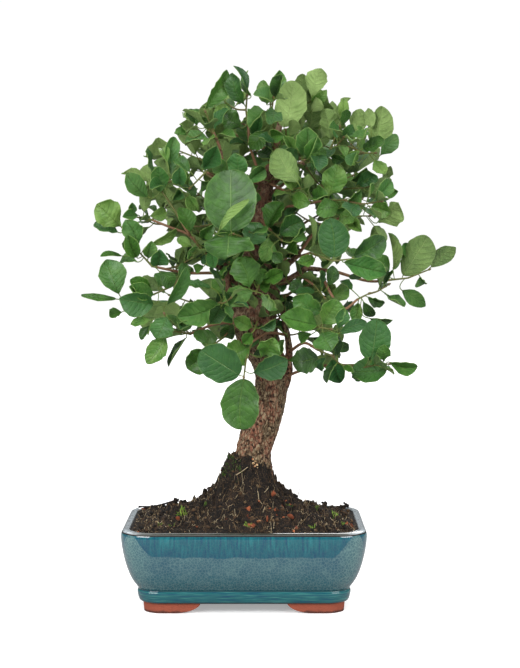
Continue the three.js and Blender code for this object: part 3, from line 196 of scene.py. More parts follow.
SPRAYS = [
    ("left_shoulder", 1, [(221, 150, -20), (213, 131, -24), (206, 113, -28)], [
        (204, 110, 230, 73, 20, -4, 35), (210, 133, 225, 105, 17, -6, 15), (198, 131, 193, 110, 15, 4, 0),
        (196, 143, 204, 118, 14, -4, 30), (195, 145, 181, 127, 13, 6, -20),
    ]),
    ("top_left", 2, [(265, 188, 0), (251, 150, -12), (248, 126, -18), (246, 110, -22), (247, 97, -22)], [
        (246, 108, 231, 76, 17, -4, -25), (248, 96, 238, 66, 11, 0, 50), (251, 96, 246, 71, 10, 4, -40),
        (241, 128, 224, 114, 19, -10, 10), (252, 140, 247, 121, 17, -10, 0),
    ]),
    ("top_middle", 1, [(275, 155, 2), (274, 128, -10), (271, 112, -16), (270, 100, -16)], [
        (271, 106, 281, 72, 17, 2, 20), (267, 106, 262, 83, 15, -6, -20), (264, 138, 282, 136, 14, -12, 10),
        (264, 130, 250, 148, 16, -14, 0),
    ]),
    ("top_pale", 1, [(278, 134, 2), (286, 139, -18), (286, 131, -28)], [
        (284, 127, 293, 83, 29, 8, 180), (290, 136, 299, 121, 13, -4, 160),
    ]),
    ("top_right", 1, [(283, 114, 4), (297, 109, -2), (309, 102, -8)], [
        (303, 100, 303, 75, 14, 4, 160), (312, 98, 321, 70, 20, 4, 178), (313, 106, 326, 92, 13, -6, 20),
        (309, 116, 318, 99, 14, -6, 165), (304, 124, 296, 108, 12, 0, 30),
    ]),
    ("top_front", 1, [(275, 155, 2), (292, 160, -30), (304, 160, -50)], [
        (302, 157, 308, 129, 27, -4, 8), (307, 160, 315, 137, 10, -8, -40),
        (299, 165, 285, 150, 12, -6, 20), (310, 162, 325, 150, 14, 4, 0),
    ]),
    ("pale_middle", 1, [(267, 182, 0), (285, 191, -30), (299, 188, -54)], [
        (299, 184, 277, 151, 26, 6, 180), (297, 192, 282, 172, 18, -10, 12),
        (291, 194, 275, 195, 10, -6, 60), (292, 200, 309, 203, 16, -10, 15),
        (304, 189, 309, 176, 10, -4, 170),
    ]),
    ("right_red_branch", 3, [
        (263, 200, 0), (285, 206, -20), (306, 204, -32), (322, 201, -38), (344, 200, -44),
    ], [
        (329, 196, 337, 167, 23, -8, 5), (347, 203, 360, 192, 13, -6, 20), (341, 208, 319, 211, 18, -8, 8),
        (350, 199, 364, 206, 12, -4, 150),
    ]),
    ("right_crown", 1, [(315, 158, -10), (330, 150, -20), (339, 128, -24)], [
        (331, 139, 326, 110, 20, 2, 172), (341, 119, 344, 99, 11, 2, 0), (342, 126, 346, 110, 12, -4, 30),
        (328, 168, 347, 160, 13, -8, 150), (343, 140, 352, 126, 12, -6, 10),
    ]),
    ("right_crown_outer", 1, [(335, 150, -16), (350, 147, -24), (364, 153, -30), (374, 153, -30)], [
        (352, 134, 361, 110, 18, 0, 162), (375, 149, 383, 109, 26, 4, 176),
        (371, 128, 369, 109, 12, 4, 150), (378, 158, 397, 136, 17, 0, 20), (361, 158, 363, 127, 14, 2, 76),
        (364, 169, 348, 155, 16, -6, 20), (374, 160, 385, 172, 13, -6, 0),
    ]),
    ("right_middle", 2, [(263, 196, 4), (300, 190, 2), (335, 189, -4), (362, 188, -8), (382, 184, -8)], [
        (382, 179, 391, 167, 11, 0, 150), (364, 193, 391, 181, 18, -2, 160),
        (386, 186, 398, 191, 14, 0, 20), (355, 186, 376, 177, 15, -8, 10), (352, 180, 366, 168, 14, -4, 25),
    ]),
    ("right_middle_low", 2, [(300, 252, -20), (319, 228, -26), (345, 216, -30), (368, 216, -28)], [
        (363, 203, 389, 213, 17, -4, 10), (376, 224, 399, 205, 27, -2, 150),
        (350, 220, 361, 231, 13, -10, 0), (374, 226, 386, 240, 18, 2, 165),
        (356, 212, 340, 222, 14, -12, 12), (352, 214, 333, 208, 15, -6, 10),
    ]),
    ("right_hanging", 1, [(295, 258, -16), (310, 253, -38), (333, 261, -56), (351, 259, -60)], [
        (334, 258, 330, 220, 28, -8, 4), (353, 257, 384, 240, 22, -6, 8), (343, 262, 384, 272, 23, -8, 6),
        (315, 258, 299, 262, 12, -6, 12), (325, 254, 309, 248, 9, -4, 150), (312, 247, 310, 216, 13, 2, 80),
    ]),
    ("far_right", 2, [(337, 272, -28), (368, 281, -24), (390, 280, -20), (408, 278, -18), (428, 270, -16)], [
        (393, 270, 390, 234, 15, 0, 78), (388, 275, 378, 255, 15, 6, 10), (402, 277, 427, 238, 29, -6, 158),
        (431, 267, 455, 249, 17, 2, 174), (411, 264, 404, 244, 13, 6, 10), (418, 273, 424, 284, 14, 4, 20),
        (393, 284, 424, 306, 15, 0, 20),
    ]),
    ("middle_right", 3, [
        (320, 269.5, -22), (330, 292, -40), (343, 309, -45), (358, 299, -42), (368, 294, -40),
    ], [
        (365, 296, 384, 303, 10, 0, 30), (363, 301, 373, 317, 11, 2, 15), (358, 303, 356, 324, 12, -6, 20),
        (352, 290, 341, 280, 9, 4, 40), (368, 318, 392, 321, 9, 0, 30),
    ]),
    ("right_low", 3, [
        (287, 376, -4), (300, 371, -18), (320, 366, -32), (347, 365, -40), (372, 364, -42), (388, 364, -42),
    ], [
        (371, 360, 377, 321, 30, -8, 4), (383, 364, 384, 347, 13, -14, 8), (389, 370, 354, 371, 24, -8, 10),
        (389, 362, 417, 367, 16, 0, 15), (352, 370, 358, 382, 7, 0, 60),
    ]),
    ("right_low_inner", 2, [(289, 352, -6), (304, 343, -22), (318, 350, -36), (332, 356, -44)], [
        (332, 359, 340, 382, 21, -6, 8), (318, 358, 294, 363, 24, -6, 5), (337, 351, 348, 344, 11, -4, 20),
        (325, 357, 321, 371, 12, 0, 30),
    ]),
    ("cluster_right", 2, [(281, 306, -8), (300, 318, -40), (317, 327, -58), (330, 329, -64)], [
        (320, 326, 282, 317, 23, -10, 6), (321, 312, 294, 299, 21, -6, -10),
        (322, 326, 338, 302, 24, -8, 8), (322, 330, 331, 348, 25, -16, 6), (337, 332, 344, 309, 14, -4, 20),
        (340, 333, 366, 324, 13, -4, 30), (312, 334, 300, 341, 12, 4, 20),
    ]),
    ("middle_right_inner", 1, [(298, 274, -12), (314, 285, -30), (324, 297, -40)], [
        (306, 296, 292, 282, 14, -4, 10), (317, 292, 297, 290, 12, -8, 50), (322, 290, 321, 271, 11, 0, 60),
        (330, 298, 349, 284, 15, 0, 12), (328, 286, 333, 267, 12, -6, 12), (320, 303, 306, 309, 15, -10, 5),
    ]),
    ("centre_round", 1, [(255, 236, -2), (246, 238, -40), (234, 234, -76)], [
        (231, 231, 231, 172, 47, -2, 0), (229, 233, 227, 256, 44, -16, 4),
        (225, 226, 246, 201, 10, -14, 62),
    ]),
    ("centre_right", 1, [(259, 218, 0), (272, 232, -40), (281, 240, -56)], [
        (274, 238, 302, 222, 22, -6, 4), (268, 228, 281, 203, 22, -8, -8), (268, 237, 264, 261, 16, -8, 0),
        (290, 244, 303, 229, 13, 6, 25), (271, 250, 281, 262, 12, -6, 20),
    ]),
    ("left_leader_side", 1, [(224, 200, -24), (232, 188, -40), (240, 181, -48)], [
        (236, 180, 236, 154, 19, -4, 0), (246, 183, 265, 169, 16, -4, 10), (228, 178, 218, 160, 14, 0, -20),
        (243, 190, 258, 200, 14, 4, 10),
    ]),
    ("left_upper", 1, [(223, 182, -24), (206, 172, -42), (191, 187, -50)], [
        (203, 169, 216, 146, 20, -6, 8), (181, 190, 180, 169, 15, -4, 10),
        (192, 196, 185, 172, 14, -8, -15), (197, 178, 209, 186, 13, -4, 20),
        (188, 196, 197, 210, 13, -6, 10), (190, 172, 176, 160, 12, 4, 20),
    ]),
    ("left_outer_upper", 1, [(190, 236, -28), (177, 214, -34), (166, 197, -34), (157, 185, -32)], [
        (160, 195, 158, 167, 17, -8, 8), (150, 199, 128, 175, 19, -4, 5), (153, 184, 124, 170, 14, 2, 135),
        (152, 178, 147, 148, 12, 4, 72), (171, 175, 174, 138, 15, 2, 10), (167, 162, 161, 147, 10, 4, 20),
        (170, 203, 180, 192, 12, 0, 10),
    ]),
    ("left_outer_middle", 3, [
        (207, 256, -20), (190, 236, -28), (172, 228, -32), (152, 220, -34), (136, 217, -34),
        (124, 226, -32),
    ], [
        (121, 227, 97, 205, 26, -4, 5), (120, 233, 95, 223, 15, 6, 45), (129, 214, 132, 203, 9, 2, 20),
        (141, 215, 123, 217, 12, -6, 20), (150, 216, 166, 211, 13, -2, 20),
        (144, 212, 150, 186, 12, -4, 172), (126, 235, 136, 250, 17, -8, 5),
    ]),
    ("left_outer_low", 4, [
        (227, 273, -18), (206, 273, -26), (188, 273, -33), (170, 270, -38), (152, 266, -42),
        (139, 252, -42),
    ], [
        (138, 260, 128, 238, 16, -10, 8), (147, 262, 152, 243, 14, -6, 15), (138, 246, 126, 221, 20, 2, 10),
        (157, 268, 159, 250, 18, -2, 10), (122, 256, 102, 254, 8, 0, 30), (138, 262, 118, 262, 11, 2, 40),
        (150, 244, 177, 231, 11, 4, 30), (160, 272, 172, 286, 15, -6, 5),
    ]),
    ("left_low_outer", 1, [(188, 273, -33), (170, 287, -42), (150, 296, -46), (124, 299, -44)], [
        (119, 294, 108, 261, 26, 0, 10), (116, 299, 82, 294, 7, 0, 30), (122, 312, 110, 317, 11, 2, 20),
        (164, 306, 121, 299, 26, -12, -12), (160, 297, 130, 287, 17, -6, 15),
        (150, 292, 131, 280, 17, 0, 10), (157, 290, 166, 275, 16, -4, 10), (178, 276, 187, 264, 14, 2, 10),
    ]),
    ("left_low", 2, [(232, 322, -8), (212, 325, -26), (190, 334, -42), (173, 331, -50), (165, 315, -54)], [
        (171, 307, 157, 336, 22, -8, 12), (165, 336, 147, 362, 19, -2, 10), (151, 325, 141, 339, 9, 2, 30),
        (151, 320, 131, 324, 10, 4, 40), (165, 306, 187, 270, 14, -8, 42), (186, 338, 166, 363, 9, 2, 60),
        (178, 326, 192, 320, 12, 0, 20),
    ]),
    ("left_middle", 1, [(231, 300, -12), (226, 297, -32), (219, 303, -50)], [
        (221, 303, 180, 316, 26, -6, -8), (211, 288, 184, 282, 11, 4, 55), (224, 292, 213, 281, 14, -4, 10),
        (222, 310, 232, 322, 13, -4, 10),
    ]),
    ("left_middle_upper", 1, [(207, 256, -20), (200, 247, -36), (195, 239, -42)], [
        (191, 232, 180, 209, 16, -4, 10), (191, 246, 178, 238, 10, 0, 20), (200, 259, 189, 251, 14, -4, 10),
        (204, 266, 196, 272, 10, 4, 20), (210, 252, 213, 269, 13, -8, 15), (202, 238, 213, 226, 14, -6, 10),
    ]),
    ("centre_low", 2, [(287, 335, -6), (268, 333, -26), (252, 342, -42), (246, 360, -54), (244, 376, -60)], [
        (239, 375, 202, 353, 36, -6, -10), (244, 379, 241, 428, 34, 2, 2), (253, 373, 286, 361, 24, -4, 8),
        (252, 346, 228, 358, 25, -8, 8), (262, 357, 273, 339, 22, -8, 5),
    ]),
    ("centre_low_left", 1, [(238, 325, -10), (224, 337, -32), (212, 346, -44)], [
        (210, 350, 189, 369, 27, -2, -15), (221, 338, 202, 341, 17, -4, 20),
        (206, 344, 196, 331, 11, 2, 20),
    ]),
    ("centre_middle", 1, [(263, 284, -6), (258, 287, -30), (256, 293, -46)], [
        (254, 291, 224, 302, 19, -6, 8), (249, 288, 238, 259, 27, -6, 5), (257, 288, 262, 269, 15, -8, 10),
        (263, 281, 282, 272, 17, -4, 5), (262, 294, 278, 309, 15, -4, 35), (252, 278, 248, 262, 15, 8, -10),
    ]),
    ("centre_front", 1, [(259, 262, -2), (253, 256, -24), (247, 248, -36)], [
        (248, 246, 259, 224, 23, -4, 5), (244, 250, 227, 262, 18, -4, 10), (252, 253, 246, 270, 15, -6, 10),
    ]),
    ("centre_star", 1, [(258, 318, -10), (257, 322, -32), (255, 328, -44)], [
        (253, 328, 235, 319, 15, -6, 10), (257, 329, 275, 320, 12, -6, 25),
        (252, 333, 243, 343, 13, -2, 10),
    ]),
]

# The crown and the shoots on the sides and the back, which follow one rule with seeded draws
CROWN_CENTRE = (8, 4, 312)
CROWN_REACH = (128, 100, 116)
BACK_SPRAYS = Values(
    count=19, lowest=226, highest=398, turn_from=4, turn_span=172, turn_try=5, start_below=14, rise_least=6,
    rise_draw=26, least_level=0.08, fill=(0.74, 0.5, 0.74), elbow_at=0.35, elbow_drop=4, wood_share=0.62,
    seed=811, tries=12)
BACK_LEAVES = Values(
    count=5, length=35, length_share=(0.72, 0.5), shorter_try=0.03, width_share=(0.76, 0.16), root_from=0.14,
    root_span=0.84, stalk_share=0.1, turn_draw=40, turn_try=31, spread_first=72, spread_fall=26,
    spread_last=18, spread_draw=14, face_up=0.9, face_out=0.35, roll_draw=50)
FRONT_LEAVES = Values(wider=1.08, longer=1.04, lean_draw=14, roll_draw=24, roll_try=9)
GOLDEN_ANGLE = 137.508
GOLDEN_SHARE = 0.618034
DEPTH_TRIES = [0, -5, 5, -10, 10, -15, 15, -20, 20, -26, 26]

# Blades and stalks in the CAD
BLADE_STEPS = {"small": (0.22, 0.72), "middle": (0.12, 0.42, 0.8), "large": (0.07, 0.24, 0.5, 0.76, 0.93)}
MIDDLE_FROM = 16.7
LARGE_FROM = 25.6
CAD_THICKNESS = 0.8
WIDTH_POWER = 0.55
WIDTH_AT_FOOT = 0.93
WIDTH_TOWARDS_TIP = 0.14
BLADE_SHAPE = {"fold": (-0.04, 0.32), "arch": (-0.02, 0.1), "wave": (0.02, 0.03), "phase": (0, 6)}
WAVES_ALONG = 7
WAVES_APART = 2.4
PETIOLE_LEAST = 3
STALK_LEAN = 0.35
SHOOT_END_RADIUS = 0.95
ROOT_STEPS = 24
FIRST_ROOT = 3
ROOT_SPACING = 2
LEAF_SEEDS = Values(first=1000, per_spray=40)
FOUND_WITHIN = 0.04
CORNERS_ENOUGH = 3

# View lines through the crown that stay open, as (across, down, radius), and its edge in the front view
OPEN_SPOTS = [
    (312, 213, 9), (353, 240, 8), (326, 275, 6), (347, 291, 9), (352, 345, 10), (301, 342, 8), (385, 312, 10),
    (160, 224, 7), (170, 243, 9), (192, 292, 10), (178, 298, 6), (195, 330, 6), (203, 184, 5), (184, 163, 4),
    (274, 137, 4), (230, 384, 6), (296, 290, 5), (305, 262, 7), (262, 192, 7), (262, 205, 5), (270, 330, 7),
    (290, 345, 6), (288, 368, 6), (264, 190, 9), (264, 204, 8), (335, 243, 8), (318, 268, 7), (300, 222, 5),
    (366, 287, 8), (392, 292, 6), (240, 112, 3), (270, 133, 3), (158, 260, 5),
]
CROWN_EDGE = [
    (203, 108), (215, 75), (237, 66), (250, 85), (281, 72), (305, 72), (324, 71), (330, 95), (345, 98),
    (362, 110), (388, 108), (398, 140), (392, 165), (398, 188), (401, 215), (392, 232), (390, 240),
    (398, 270), (392, 284), (406, 300), (392, 322), (390, 345), (408, 362), (388, 384), (355, 370),
    (340, 382), (300, 373), (262, 390), (224, 392), (200, 372), (184, 352), (166, 356), (146, 358),
    (150, 335), (125, 322), (120, 302), (97, 280), (110, 262), (100, 245), (94, 218), (100, 204), (125, 200),
    (128, 170), (147, 150), (160, 150), (168, 140), (178, 130), (187, 110),
]

# The leaves that stand out in the photograph have their own tone and form. In the middle of the front they
# are a flat round leaf, a wavy one, and a young one that curls before them.
SEEN_LEAVES = {
    "spray_top_left": {0: {"tone": 0.22}, 1: {"tone": 0.1}, 3: {"tone": 0.3}},
    "spray_centre_low": {0: {"tone": 0.25}},
    "spray_centre_round": {
        0: {"tone": 0.28, "arch": 0.02, "fold": 0.1, "life": {
            "widest": 0.97, "fullness": 0.44, "bend": 0.0, "notch": 0.012, "flutter": 0.01, "folded": 0.0,
            "curled": 0.0}},
        1: {"tone": 0.28, "life": {
            "widest": 1.05, "fullness": 0.62, "notch": 0.07, "lobes": 2.6, "flutter": 0.11, "flutters": 1.6,
            "folded": 0.1}},
        2: {"tone": 0.9, "width": 10, "life": {
            "bend": 0.17, "folded": 0.4, "curled": 0.0, "widest": 1.25, "fullness": 0.7}},
    },
}
CURLED_LEAF = Values(spray="spray_centre_round", at=2, foot=(219, 231, -81.5), tip=(249, 199, -84),
                     face=(0.55, -0.75, -0.35))

# Short leafy sprigs inside the crown, which start on the wood and fill it
SPRIGS = Values(
    count=88, tries=12, seed=4100, length=(10, 26), rise=(-0.3, 0.8), bend_up=0.15, steps=8, leaves=7,
    least_leaves=3, leaves_from=3, leaves_over=5, turn_draw=60, leaf_length=(12, 14), leaf_width=(0.5, 0.3),
    spread=(74, -46), spread_draw=20, stalk_share=0.1, face_up=0.7, face_ahead=0.5, inside=5, near=60,
    trunk_from=250, starts_on_twig=5, starts_on_limb=10, starts_on_trunk=60, shoot_radii=(1.0, 0.5))

# Fine pieces of the leaves. LEAF_LIFE is what makes each living blade differ from the plain one.
BLADE_GRIDS = {"small": (10, 4), "middle": (18, 6), "large": (28, 8)}
LEAF_LIFE = {
    "widest": (1.02, 0.62), "fullness": (0.52, 0.34), "bend": (-0.1, 0.2), "lobes": (2.4, 2.6),
    "notch": (0.02, 0.07), "teeth": (0.0, 0.035), "flutter": (0.03, 0.09), "flutters": (1.1, 1.7),
    "folded": (-0.05, 1.0), "curled": (-0.06, 0.26), "phase": (0, 6.28),
}
BROAD_LEAF_LIFE = LEAF_LIFE | {
    "widest": (0.98, 0.24), "fullness": (0.42, 0.11), "bend": (-0.05, 0.1), "notch": (0.01, 0.035),
    "teeth": (0.004, 0.012), "flutter": (0.012, 0.04), "folded": (0.0, 0.35), "curled": (0.0, 0.1),
}
LIVING = Values(teeth_along=6, sides_apart=1.7, fold_power=1.3, fold_narrows=0.22)
TONE = Values(lightness=0.2, inner_lightness=0.02, span=0.55, paler_per=900, limits=(0.02, 0.98))
TWIG = Values(radii={"front": 1.35, "back": 1.8}, sides=8, steps=6)
SHOOT = Values(radii=(1.0, 0.65), sides=6, steps=4, into_wood=1.2, tone=0.3, inner_tone=0.2)
STALK = Values(radii=(0.36, 0.5), sides=5, steps=5, bend=0.5, into_rib=2.5, end_share=0.4, tone=0.6)
BUD = Values(length=3.2, radii=(0.6, 1.05, 1.1, 0.75, 0.15), tone=0.15)
LEAF_CREASE = 50
SPRIG_SEED = 7000
SPRAY_SEED = 9000

# The bark: sides and steps of the stems under it, then its ridges, which are weaker on the thin stems high up
STEMS = Values(trunk_sides=40, limb_sides=16, steps=6)
RIDGES = Values(
    width=4.2, height=11, sharpness=2.2, fine_width=1.6, share=0.8, fine_share=0.35, sunk=0.6,
    foot=(253, 470, 0), at_foot=1.2, thinner_over=260, least=0.25)

# The finishes. A pattern is (scale, detail, roughness), and a step is (where it starts, where it ends).
# In the glaze, the band below the lip is a painted reflection of the dark room: its lower edge starts at a
# height, rises towards the corners and wavers, and the band is bluer near that edge.
GLAZE = Values(
    corner=(0.7, 0.97), band_from=44.5, corner_rise=24, waver=7, band_edge=(0, 1.4), deep_edge=(11, 2),
    clouds=(0.09, 5.0, 0.6), flecks=(0.9, 3.0, 0.6), worn=(0.25, 5.0, 0.7), low=(24, 44), cloud_rise=9,
    crackle_size=0.42, groove=(19.4, 20.4), foot_band=(18.2, 18.9), foot_groove=(8.6, 10.4), rim=(65.6, 66.2),
    lip=(66.6, 67.2), lip_end=(0.8, 0.95))
BARK_HIGH = (190, 280)
LEAF_STOPS = (0.08, 0.5, 0.95)
# The first share of each side mixes some leaves towards a blue-green painted sheen on the upper side, and
# towards plain pale green on the under side.
UPPER_SIDE = Values(cool=0.55, veins=0.4, side=0.3, net=0.1, raised=-1.0, roughness=0.47, wax=0.14)
UNDER_SIDE = Values(cool=0.2, veins=0.55, side=0.7, net=0.4, raised=1.0, roughness=0.7, wax=0.0)

# The studio. Powers are in watts, places and sizes in metres, and the film's width in millimetres.
DOME = Values(strength=2.3, angle=100, tilt=-12)
SKY = Values(seen=1.02, ambient=0.42, mirrored=0.14)
PAPER = Values(side=12, seen=0.9, bounce=0.35, glow=0.35, roughness=0.9)
LAMPS_AIM = (0, 0, 0.22)
LAMPS = [
    ("light_left", (-1.15, -1.45, 1.0), (1.5, 0.7), 31),
    ("light_right", (1.3, -1.35, 0.95), (1.5, 0.7), 22),
    ("light_back", (0.5, 1.8, 1.2), (1.1, 0.6), 10),
]
FILM_WIDTH = 36


def seeded_draws(seed):
    """Numbers from 0 to 1 that are the same in each run."""
    state = ((seed + 1) * 2654435761) % 2**32

    def draw():
        nonlocal state
        state = (state * 1664525 + 1013904223) % 2**32
        return state / 2**32

    draw()
    draw()
    return draw


def drawn(draw, limits, power=1):
    """A seeded value from its least value and its span."""
    return limits[0] + limits[1] * draw() ** power


def jitter(draw):
    """A seeded step of up to one half along each axis."""
    return np.array([draw() - 0.5, draw() - 0.5, draw() - 0.5])


def around(turn):
    """The level direction at that turn."""
    return np.array([math.cos(turn), math.sin(turn), 0])


def unit(vector):
    return vector / np.linalg.norm(vector)


def turned(vector, axis, degrees):
    """The vector turned about a unit axis that passes through the origin."""
    turn = math.radians(degrees)
    level = vector * math.cos(turn) + np.cross(axis, vector) * math.sin(turn)
    return level + axis * (axis @ vector) * (1 - math.cos(turn))


def place(across, down, depth):
    """The point that the front view shows there, at that depth."""
    scale = STEP * (1 + depth / EYE.distance)
    x = EYE.across + (across - EYE.across_step) * scale
    z = EYE.height + (EYE.down_step - down) * scale
    return np.array([x, depth, z])


def placed(rows):
    return [place(*row[:3]) for row in rows]


def into_scene(points):
    """The frame's metres, from millimetres from the middle of the pot."""
    return (np.array(points) * METRES + POT_MIDDLE).tolist()


def from_scene(point):
    return (np.array(point) - POT_MIDDLE) / METRES


def curve_point(points, share):
    """A point on the smooth curve through the given points."""
    last = len(points) - 1
    low = min(int(last * share), last - 1)
    at = last * share - low
    p1, p2 = points[low], points[low + 1]
    p0 = points[low - 1] if low > 0 else 2 * p1 - p2
    p3 = points[low + 2] if low + 2 <= last else 2 * p2 - p1
    bend = p0 - 2.5 * p1 + 2 * p2 - p3 / 2 + at * (1.5 * (p1 - p2) + (p3 - p0) / 2)
    return p1 + at * ((p2 - p0) / 2 + at * bend)


def smooth_line(points, steps):
    return np.array([curve_point(points, i / steps) for i in range(steps + 1)])


def frames_along(centres):
    """Two directions square to the line at each of its points, turned as little as possible along it."""
    ahead = np.vstack([centres[1:], centres[-1:]])
    behind = np.vstack([centres[:1], centres[:-1]])
    frames = []
    across = None
    for along in ahead - behind:
        along = unit(along)
        if across is None:
            across = np.array([1.0, 0, 0]) if abs(along[0]) < 0.8 else VIEW
        across = unit(across - (across @ along) * along)
        frames.append((across, np.cross(along, across)))
    return frames


# Meshes and objects in the making

class Cluster:
    """Points, faces and what they carry, gathered for one mesh."""

    def __init__(self):
        self.points, self.faces, self.slots, self.tones, self.uvs = [], [], [], [], []
        self.count = 0

    def add(self, points, faces, slot=0, tone=0.5, uvs=None):
        self.points.append(np.asarray(points, float))
        self.faces.extend([tuple(i + self.count for i in face) for face in faces])
        self.slots.extend([slot] * len(faces))
        self.tones.extend([tone] * len(points))
        self.uvs.append(np.zeros((len(points), 2)) if uvs is None else uvs)
        self.count += len(points)

    def tube(self, centres, radii, sides, slot=0, tone=0.5):
        """A round stem with closed ends."""
        turns = np.arange(sides) * 2 * math.pi / sides
        rings = []
        for centre, radius, (across, over) in zip(centres, radii, frames_along(centres)):
            ring = np.outer(radius * np.cos(turns), across) + np.outer(radius * np.sin(turns), over)
            rings.append(centre + ring)
        self.skin(rings, slot, tone)

    def skin(self, rings, slot=0, tone=0.5):
        """A closed skin over rings that have the same number of points."""
        sides = len(rings[0])
        faces = []
        for i in range(len(rings) - 1):
            for j in range(sides):
                k = (j + 1) % sides
                faces.append((i * sides + j, i * sides + k, (i + 1) * sides + k, (i + 1) * sides + j))
        faces.append(tuple(reversed(range(sides))))
        faces.append(tuple(range((len(rings) - 1) * sides, len(rings) * sides)))
        self.add(np.vstack(rings), faces, slot, tone)

    def piece(self, name, *materials):
        """The finished mesh object, in the frame's metres."""
        mesh = bpy.data.meshes.new(name)
        mesh.from_pydata(into_scene(np.vstack(self.points)), [], self.faces)
        for material in materials:
            mesh.materials.append(material)
        mesh.polygons.foreach_set("material_index", self.slots)
        mesh.attributes.new("tone", "FLOAT", "POINT").data.foreach_set("value", self.tones)
        corners = np.zeros(len(mesh.loops), int)
        mesh.loops.foreach_get("vertex_index", corners)
        mesh.uv_layers.new(name="blade").data.foreach_set("uv", np.vstack(self.uvs)[corners].ravel())
        mesh.validate()
        return added(name, mesh)


def added(name, data):
    """A new object in the scene that shows the data."""
    made = bpy.data.objects.new(name, data)
    bpy.context.scene.collection.objects.link(made)
    return made


def select_only(*pieces):
    bpy.ops.object.select_all(action="DESELECT")
    for piece in pieces:
        piece.select_set(True)
    bpy.context.view_layer.objects.active = pieces[0]


@contextlib.contextmanager
def editing(piece):
    """Edit mode, with all of the piece selected."""
    select_only(piece)
    bpy.ops.object.mode_set(mode="EDIT")
    bpy.ops.mesh.select_all(action="SELECT")
    yield
    bpy.ops.object.mode_set(mode="OBJECT")


def apply_modifier(piece, kind, **settings):
    """Adds a modifier and applies it."""
    select_only(piece)
    modifier = piece.modifiers.new(kind.title(), kind)
    for name, value in settings.items():
        setattr(modifier, name, value)
    bpy.ops.object.modifier_apply(modifier=modifier.name)


def joined(*pieces):
    select_only(*pieces)
    bpy.ops.object.join()
    return pieces[0]


def blank_mesh(blank):
    """The corners and the faces of a scratch object, which is taken away."""
    corners = np.array([vertex.co for vertex in blank.data.vertices])
    faces = [tuple(face.vertices) for face in blank.data.polygons]
    bpy.data.objects.remove(blank)
    return corners, faces


def shade(piece, crease=None):
    """Smooth shading, over all of the piece or up to a crease in degrees."""
    select_only(piece)
    if crease is None:
        bpy.ops.object.shade_smooth()
    else:
        bpy.ops.object.shade_smooth_by_angle(angle=math.radians(crease))


def finished(piece, nodes=()):
    """Attaches a piece to the root body and hides the CAD nodes that it stands for."""
    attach(piece, "root")
    if nodes:
        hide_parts(*nodes)


# The shapes that the tree's rules give

def width_share(s):
    """How wide a blade is, as a share of its full width, along its rib."""
    return (4 * s * (1 - s)) ** WIDTH_POWER * (WIDTH_AT_FOOT + WIDTH_TOWARDS_TIP * s)


def blade_points(leaf, s, v):
    """Points of a blade's middle surface, by their shares along the rib and towards either side."""
    rib = leaf.tip - leaf.foot
    half = leaf.width / 2 * width_share(s)
    turn = WAVES_ALONG * s + WAVES_APART * np.sign(v) + leaf.phase
    wave = leaf.wave * leaf.width * np.sin(turn) * v * v
    rise = leaf.fold * half * v * v + leaf.arch * np.linalg.norm(rib) * 4 * s * (1 - s) + wave
    return leaf.foot + np.outer(s, rib) + np.outer(half * v, leaf.side) + np.outer(rise, leaf.face)


def make_leaf(root, foot, tip, width, towards, roll, draw):
    """A leaf whose blade looks towards a direction. Its foot moves on until the stalk is long enough."""
    rib = unit(tip - foot)
    stalk = foot - root
    ahead = stalk @ rib
    aside = np.linalg.norm(stalk - ahead * rib)
    least = max(STALK_LEAN * aside, math.sqrt(max(0, PETIOLE_LEAST**2 - aside**2)))
    foot = foot + rib * max(0, least - ahead)
    face = turned(unit(towards - (towards @ rib) * rib), rib, roll)
    leaf = Values(root=root, foot=foot, tip=tip, width=width, face=face, side=np.cross(face, rib))
    for name, limits in BLADE_SHAPE.items():
        setattr(leaf, name, drawn(draw, limits))
    leaf.size = "small" if width < MIDDLE_FROM else "middle" if width < LARGE_FROM else "large"
    return leaf


def front_leaf(row, line, taken, seed, attempt):
    """A leaf on the front. It roots where the shoot passes nearest to its foot, clear of the roots taken."""
    foot_across, foot_down, tip_across, tip_down, width, lean, roll = row
    draw = seeded_draws(seed)
    more_lean = FRONT_LEAVES.lean_draw * (draw() - 0.5)
    more_roll = FRONT_LEAVES.roll_draw * (draw() - 0.5)
    try_roll = 0 if attempt < len(DEPTH_TRIES) else FRONT_LEAVES.roll_try
    best = None
    for at, (centre, _) in enumerate(line):
        if at < FIRST_ROOT or any(abs(other - at) < ROOT_SPACING for other in taken):
            continue
        gap = np.linalg.norm(place(foot_across, foot_down, centre[1]) - centre)
        if best is None or gap < best[0]:
            best = (gap, centre, at)
    _, root, at = best
    depth = root[1] + DEPTH_TRIES[attempt % len(DEPTH_TRIES)]
    foot = place(foot_across, foot_down, depth)
    tip = foot + (place(tip_across, tip_down, depth + lean + more_lean) - foot) * FRONT_LEAVES.longer
    full = width * STEP * FRONT_LEAVES.wider
    leaf = make_leaf(root, foot, tip, full, -VIEW, roll + more_roll + try_roll, draw)
    leaf.root_at = at
    return leaf


def opened(along, turn, spread):
    """The direction that stands off from another by a spread, at a turn about it, both in degrees."""
    out = turned(unit(np.cross(along, UP)), along, turn)
    return along * math.cos(math.radians(spread)) + out * math.sin(math.radians(spread))


